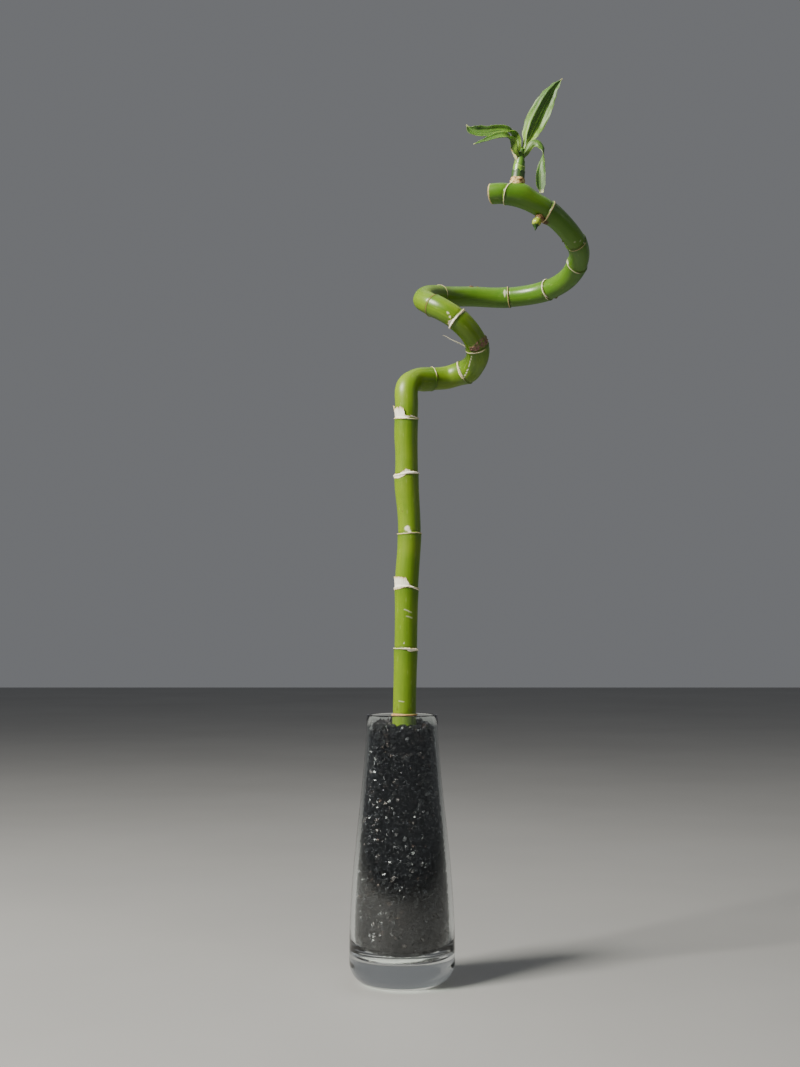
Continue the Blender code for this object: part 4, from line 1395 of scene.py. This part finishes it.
def make_shoot_skin():
    material, tree, shader = new_material("shoot_sheath")
    grown = attribute(tree, "grown", "Vector")
    streaks = drawn_noise(tree, grown, (1.0, 1.0, 0.08), 900.0, 4.0)
    spots = place_group(tree, mottle, Place=grown, Patch_Scale=520.0, Speck_Scale=1400.0)
    layer = scaled(tree, attribute(tree, "layer"), 0.0, 4.0)
    collar = ramp(tree, spots.outputs["Patches"], ((0.15, (0.11, 0.045, 0.012)), (0.40, (0.46, 0.29, 0.09)),
                                                   (0.72, (0.66, 0.55, 0.25))))
    green = ramp(tree, layer, ((0.25, (0.016, 0.050, 0.010)), (0.5, (0.135, 0.270, 0.028)),
                               (0.75, (0.075, 0.190, 0.020)), (1.0, (0.050, 0.140, 0.016))))
    green.node.color_ramp.interpolation = "CONSTANT"
    colour = tinted(tree, green, (streaks, (0.45, 0.75, 0.0, 0.5), (0.20, 0.34, 0.05)),
                    (attribute(tree, "rim"), (0.2, 1.0, 0.0, 0.6), (0.42, 0.46, 0.16)))
    colour = blend_colours(tree, scaled(tree, layer, 0.20, 0.24), collar, colour)
    finish(tree, shader, colour, scaled(tree, layer, 0.15, 0.30, 0.7, 0.32), bumped(tree, streaks, 0.4))
    return material


dress(make_shoot(), make_shoot_skin(), ["side_shoot"], smooth=60)


# %% [markdown]
# ## The leaves
#
# A leaf is a sheet laid along its midrib. Its width comes from a few half widths from stalk to tip, its
# cross section from a few heights from the left edge to the right, and its edges are waved a little, as
# no leaf is flat. At the stalk the section closes round the shoot. The sheet gets a leaf's thickness at
# the end, so that light can pass from one side to the other.

# %% Leaf shapes
LEAF_THICKNESS = 0.36 * MM
LEAF_ROW_EASE = 1.15                # over 1 sets the rows closer at the tip
WAVE_PACE = 260                     # radians to a metre of the edge
LEAF_COLUMNS = 28
LEAF_ROWS = 120
# Each has the points of its midrib in millimetres; its half widths at even steps from stalk to tip; its
# section, as places across from -1 to 1 and heights, in shares of the half width; the way that its right
# side points, as the share of its length, X, Y and Z; how much of its width stays when it folds; and how
# wavy it is in millimetres and how young its green, from 0 to 1, or over 1 for cream. A low value also
# paints shade: the right leaf, which hangs in shade, is given its deep green as painted shade
LEAVES = {
    "leaf_upright": {
        "midrib": (
            (89.6, -57.2, 615.5), (91.6, -56.8, 621.0), (94.8, -56.2, 629.7), (99.3, -55.2, 640.3),
            (103.5, -54.2, 649.3), (108.4, -53.2, 659.0), (113.2, -52.2, 666.8), (119.4, -51.0, 673.4)),
        "half_widths": (1.6, 3.6, 7.0, 8.8, 9.0, 8.2, 6.4, 3.6, 0.3),
        "section": ((-1, 0.55), (-0.40, 0.0), (0.05, 0.22), (0.45, 0.34), (1, 0.02)),
        "sides": ((0.0, 0.87, 0.0, -0.4), (1.0, 0.87, 0.0, -0.5)),
        "spread": 0.88, "wave": 0.7, "tone": 0.6},
    "leaf_left_upper": {
        "midrib": (
            (87.4, -57.0, 611.0), (84.6, -56.2, 617.5), (83.2, -56.0, 625.6), (79.4, -56.2, 630.6),
            (71.6, -56.6, 631.2), (62.0, -57.2, 629.4), (54.6, -57.4, 629.6), (50.0, -57.2, 631.8),
            (47.4, -57.0, 636.2)),
        "half_widths": (1.8, 3.4, 4.0, 3.8, 4.2, 5.0, 5.8, 4.4, 0.3),
        "section": ((-1, 0.55), (-0.45, 0.12), (0.0, 0.0), (0.45, 0.20), (1, 0.50)),
        "sides": (
            (0.0, 0.8, -0.6, 0.0), (0.3, 0.7, -0.65, -0.2), (0.42, 0.1, -0.6, -0.8),
            (0.6, 0.0, -0.35, -0.94), (0.78, -0.1, -0.4, -0.9), (1.0, -0.8, -0.4, -0.45)),
        "spread": 0.94, "wave": 0.6, "tone": 0.95},
    "leaf_left_lower": {
        "midrib": (
            (86.6, -59.8, 608.5), (82.0, -62.6, 613.5), (79.8, -63.8, 621.8), (75.8, -64.6, 624.6),
            (69.0, -65.2, 623.8), (61.0, -65.4, 621.4), (52.2, -65.4, 618.6)),
        "half_widths": (1.4, 2.6, 4.0, 5.0, 4.2, 2.6, 1.4, 0.3),
        "section": ((-1, 0.40), (-0.4, 0.08), (0.0, 0.0), (0.4, 0.10), (1, 0.42)),
        "sides": (
            (0.0, 0.6, -0.8, 0.0), (0.35, 0.5, -0.7, -0.4), (0.5, 0.0, -0.6, -0.8),
            (1.0, 0.0, -0.6, -0.8)),
        "spread": 0.94, "wave": 0.5, "tone": 0.85},
    "leaf_right": {
        "midrib": (
            (87.6, -59.6, 609.5), (91.6, -61.6, 615.5), (95.3, -62.8, 620.4), (99.5, -63.8, 620.4),
            (102.5, -64.8, 617.1), (103.7, -65.8, 612.4), (103.2, -66.8, 606.8), (102.2, -67.6, 601.3),
            (101.4, -68.2, 593.7), (101.4, -68.4, 586.2), (101.7, -68.4, 581.4)),
        "half_widths": (1.4, 2.6, 3.2, 3.2, 2.6, 2.4, 3.2, 3.8, 3.6, 1.6),
        "section": ((-1, 0.35), (-0.4, 0.05), (0.0, 0.0), (0.4, 0.08), (1, 0.34)),
        "sides": (
            (0.0, 0.85, -0.2, -0.5), (0.25, 0.1, -0.3, -0.95), (0.4, -0.6, -0.6, -0.5),
            (0.5, -0.1, -1.0, 0.0), (0.6, 0.7, -0.7, 0.0), (0.75, 0.95, -0.3, 0.0),
            (1.0, 0.95, -0.3, 0.0)),
        # the right leaf hangs in shade: its low tone is painted shade
        "spread": 0.95, "wave": 0.4, "tone": 0.1},
    "leaf_bract": {
        "midrib": (
            (85.0, -60.4, 607.0), (82.6, -61.2, 610.6), (80.8, -61.8, 614.2), (79.4, -62.2, 617.8)),
        "half_widths": (1.1, 1.7, 1.1, 0.2),
        "section": ((-1, 0.45), (0.0, 0.0), (1, 0.45)),
        "sides": ((0.0, 0.5, -0.85, 0.0), (1.0, 0.5, -0.85, 0.0)),
        "spread": 0.9, "wave": 0.1, "tone": 1.8},
}


def eased(values, share):
    """A value eased between evenly spaced ones."""
    values = np.array(values, float)
    spot = np.clip(share, 0, 1) * (len(values) - 1)
    first = np.minimum(spot.astype(int), len(values) - 2)
    ease = (1 - np.cos(math.pi * (spot - first))) / 2
    return values[first] + (values[first + 1] - values[first]) * ease


def smooth_section(section, across):
    """Heights of a section, eased between its given places."""
    places, heights = np.array(section, float).T
    first = np.clip(np.searchsorted(places, across, side="right") - 1, 0, len(places) - 2)
    share = (across - places[first]) / (places[first + 1] - places[first])
    return heights[first] + (heights[first + 1] - heights[first]) * soft_step(share, 0, 1)


def make_leaf(number, name, shape):
    """A sheet bent along its midrib, closed round the shoot at its stalk."""
    line = Line(shape["midrib"])
    leaf, across, along = sheet(name + "_blade", LEAF_COLUMNS, LEAF_ROWS)
    along = 1 - (1 - along) ** LEAF_ROW_EASE
    way, _, _ = line.across(along * line.length)
    given = np.array(shape["sides"])
    side = np.stack([np.interp(along, given[:, 0], given[:, i]) for i in (1, 2, 3)], axis=1)
    side -= way * np.sum(side * way, axis=1, keepdims=True)
    side /= np.linalg.norm(side, axis=1, keepdims=True)
    up = np.cross(way, side)
    half_width = eased(shape["half_widths"], along) * MM
    closed = 1 - soft_step(along, 0.02, 0.22)
    height = smooth_section(shape["section"], across) * (1 - closed) + 0.95 * np.abs(across) ** 1.4 * closed
    spread = shape["spread"] * (1 - closed) + 0.72 * closed
    pace = along * line.length * WAVE_PACE + (2.1 if number % 2 else 0) + 1.3 * np.sign(across)
    wave = shape["wave"] * MM * across ** 2 * np.sin(pace) * soft_step(along, 0.1, 0.3)
    pleats = 0.05 * MM * np.cos(across * 26) * (half_width / (4 * MM))
    lift = height * half_width + wave * half_width / (5 * MM) + pleats
    reach = across * half_width * spread
    set_corners(leaf.data, line.at(along * line.length) + side * reach[:, None] + up * lift[:, None])
    keep_values(leaf.data, "grown", np.stack([across * half_width, lift, along * line.length], axis=1))
    keep_values(leaf.data, "across", across)
    keep_values(leaf.data, "along", along)
    keep_values(leaf.data, "tone", np.full(len(across), shape["tone"]))
    thicken(leaf, LEAF_THICKNESS)
    apply_modifiers(leaf)
    tidy_mesh(leaf, 0.004 * MM)
    return leaf


# %% [markdown]
# Young leaves are yellow-green at the stalk and deeper towards the tip. Fine veins run side by side from
# stalk to tip, every few of them paler, and the very tip and the edges are dry and pale. A little
# light passes through, which is what makes leaves glow against a lamp.

# %% Leaf finish
def make_leaf_skin():
    material, tree, shader = new_material("young_leaf")
    grown = attribute(tree, "grown", "Vector")
    across = attribute(tree, "across")
    along = attribute(tree, "along")
    tone = attribute(tree, "tone")
    veins = drawn_noise(tree, grown, (1.0, 0.2, 0.07), 1100.0, 3.0)
    bands = drawn_noise(tree, grown, (1.0, 0.2, 0.07), 620.0, 3.0, 0.55)
    young = ramp(tree, along, ((0.0, (0.20, 0.33, 0.020)), (0.35, (0.105, 0.225, 0.012)),
                               (1.0, (0.050, 0.135, 0.010))))
    deep = ramp(tree, along, ((0.0, (0.050, 0.120, 0.010)), (1.0, (0.018, 0.062, 0.007))))
    # a low tone darkens a leaf's green; on the right leaf that is painted shade
    share = calculated(tree, "MULTIPLY", scaled(tree, bands, 0.34, 0.64),
                       scaled(tree, tone, 0.0, 1.0, 0.35, 1.3))
    from_middle = calculated(tree, "ABSOLUTE", across)
    colour = tinted(
        tree, blend_colours(tree, share, deep, young),
        (veins, (0.55, 0.75, 0.0, 0.35), (0.19, 0.31, 0.03)),
        (from_middle, (0.0, 0.06, 0.2, 0.0), (0.20, 0.32, 0.05)),
        (from_middle, (0.955, 1.0, 0.0, 0.30), (0.36, 0.42, 0.12)),
        (along, (0.95, 1.0, 0.0, 0.7), (0.60, 0.58, 0.32)),
        (tone, (1.0, 2.0), (0.74, 0.70, 0.40)))
    finish(tree, shader, colour, scaled(tree, veins, 0.3, 0.7, 0.46, 0.60), bumped(tree, veins, 0.45))
    let_light_in(shader, 0.35, (0.6, 1.0, 0.1), 0.0012)
    return material


leaf_skin = make_leaf_skin()
for number, (name, shape) in enumerate(LEAVES.items()):
    dress(make_leaf(number, name, shape), leaf_skin, [name], smooth=60)


# %% [markdown]
# ## Roots
#
# Orange roots spread from the buried nodes into the gravel. They hardly show, so the plain model's
# roots stay, with a rough orange-brown finish.

# %% Root finish
def make_root_skin():
    material, tree, shader = new_material("orange_root")
    place = object_place(tree)
    spots = place_group(tree, mottle, Place=place, Patch_Scale=240.0, Speck_Scale=1200.0)
    colour = ramp(tree, spots.outputs["Patches"], ((0.0, (0.34, 0.12, 0.03)), (1.0, (0.60, 0.28, 0.09))))
    bumps = place_group(tree, fine_bumps, Place=place, Scale=1200.0, Strength=0.6)
    finish(tree, shader, colour, 0.65, bumps.outputs["Normal"])
    return material


root_skin = make_root_skin()
for number in range(6):
    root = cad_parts["root_%d" % (number + 1)]
    root.data.materials.clear()
    root.data.materials.append(root_skin)
print("roots have their finish")
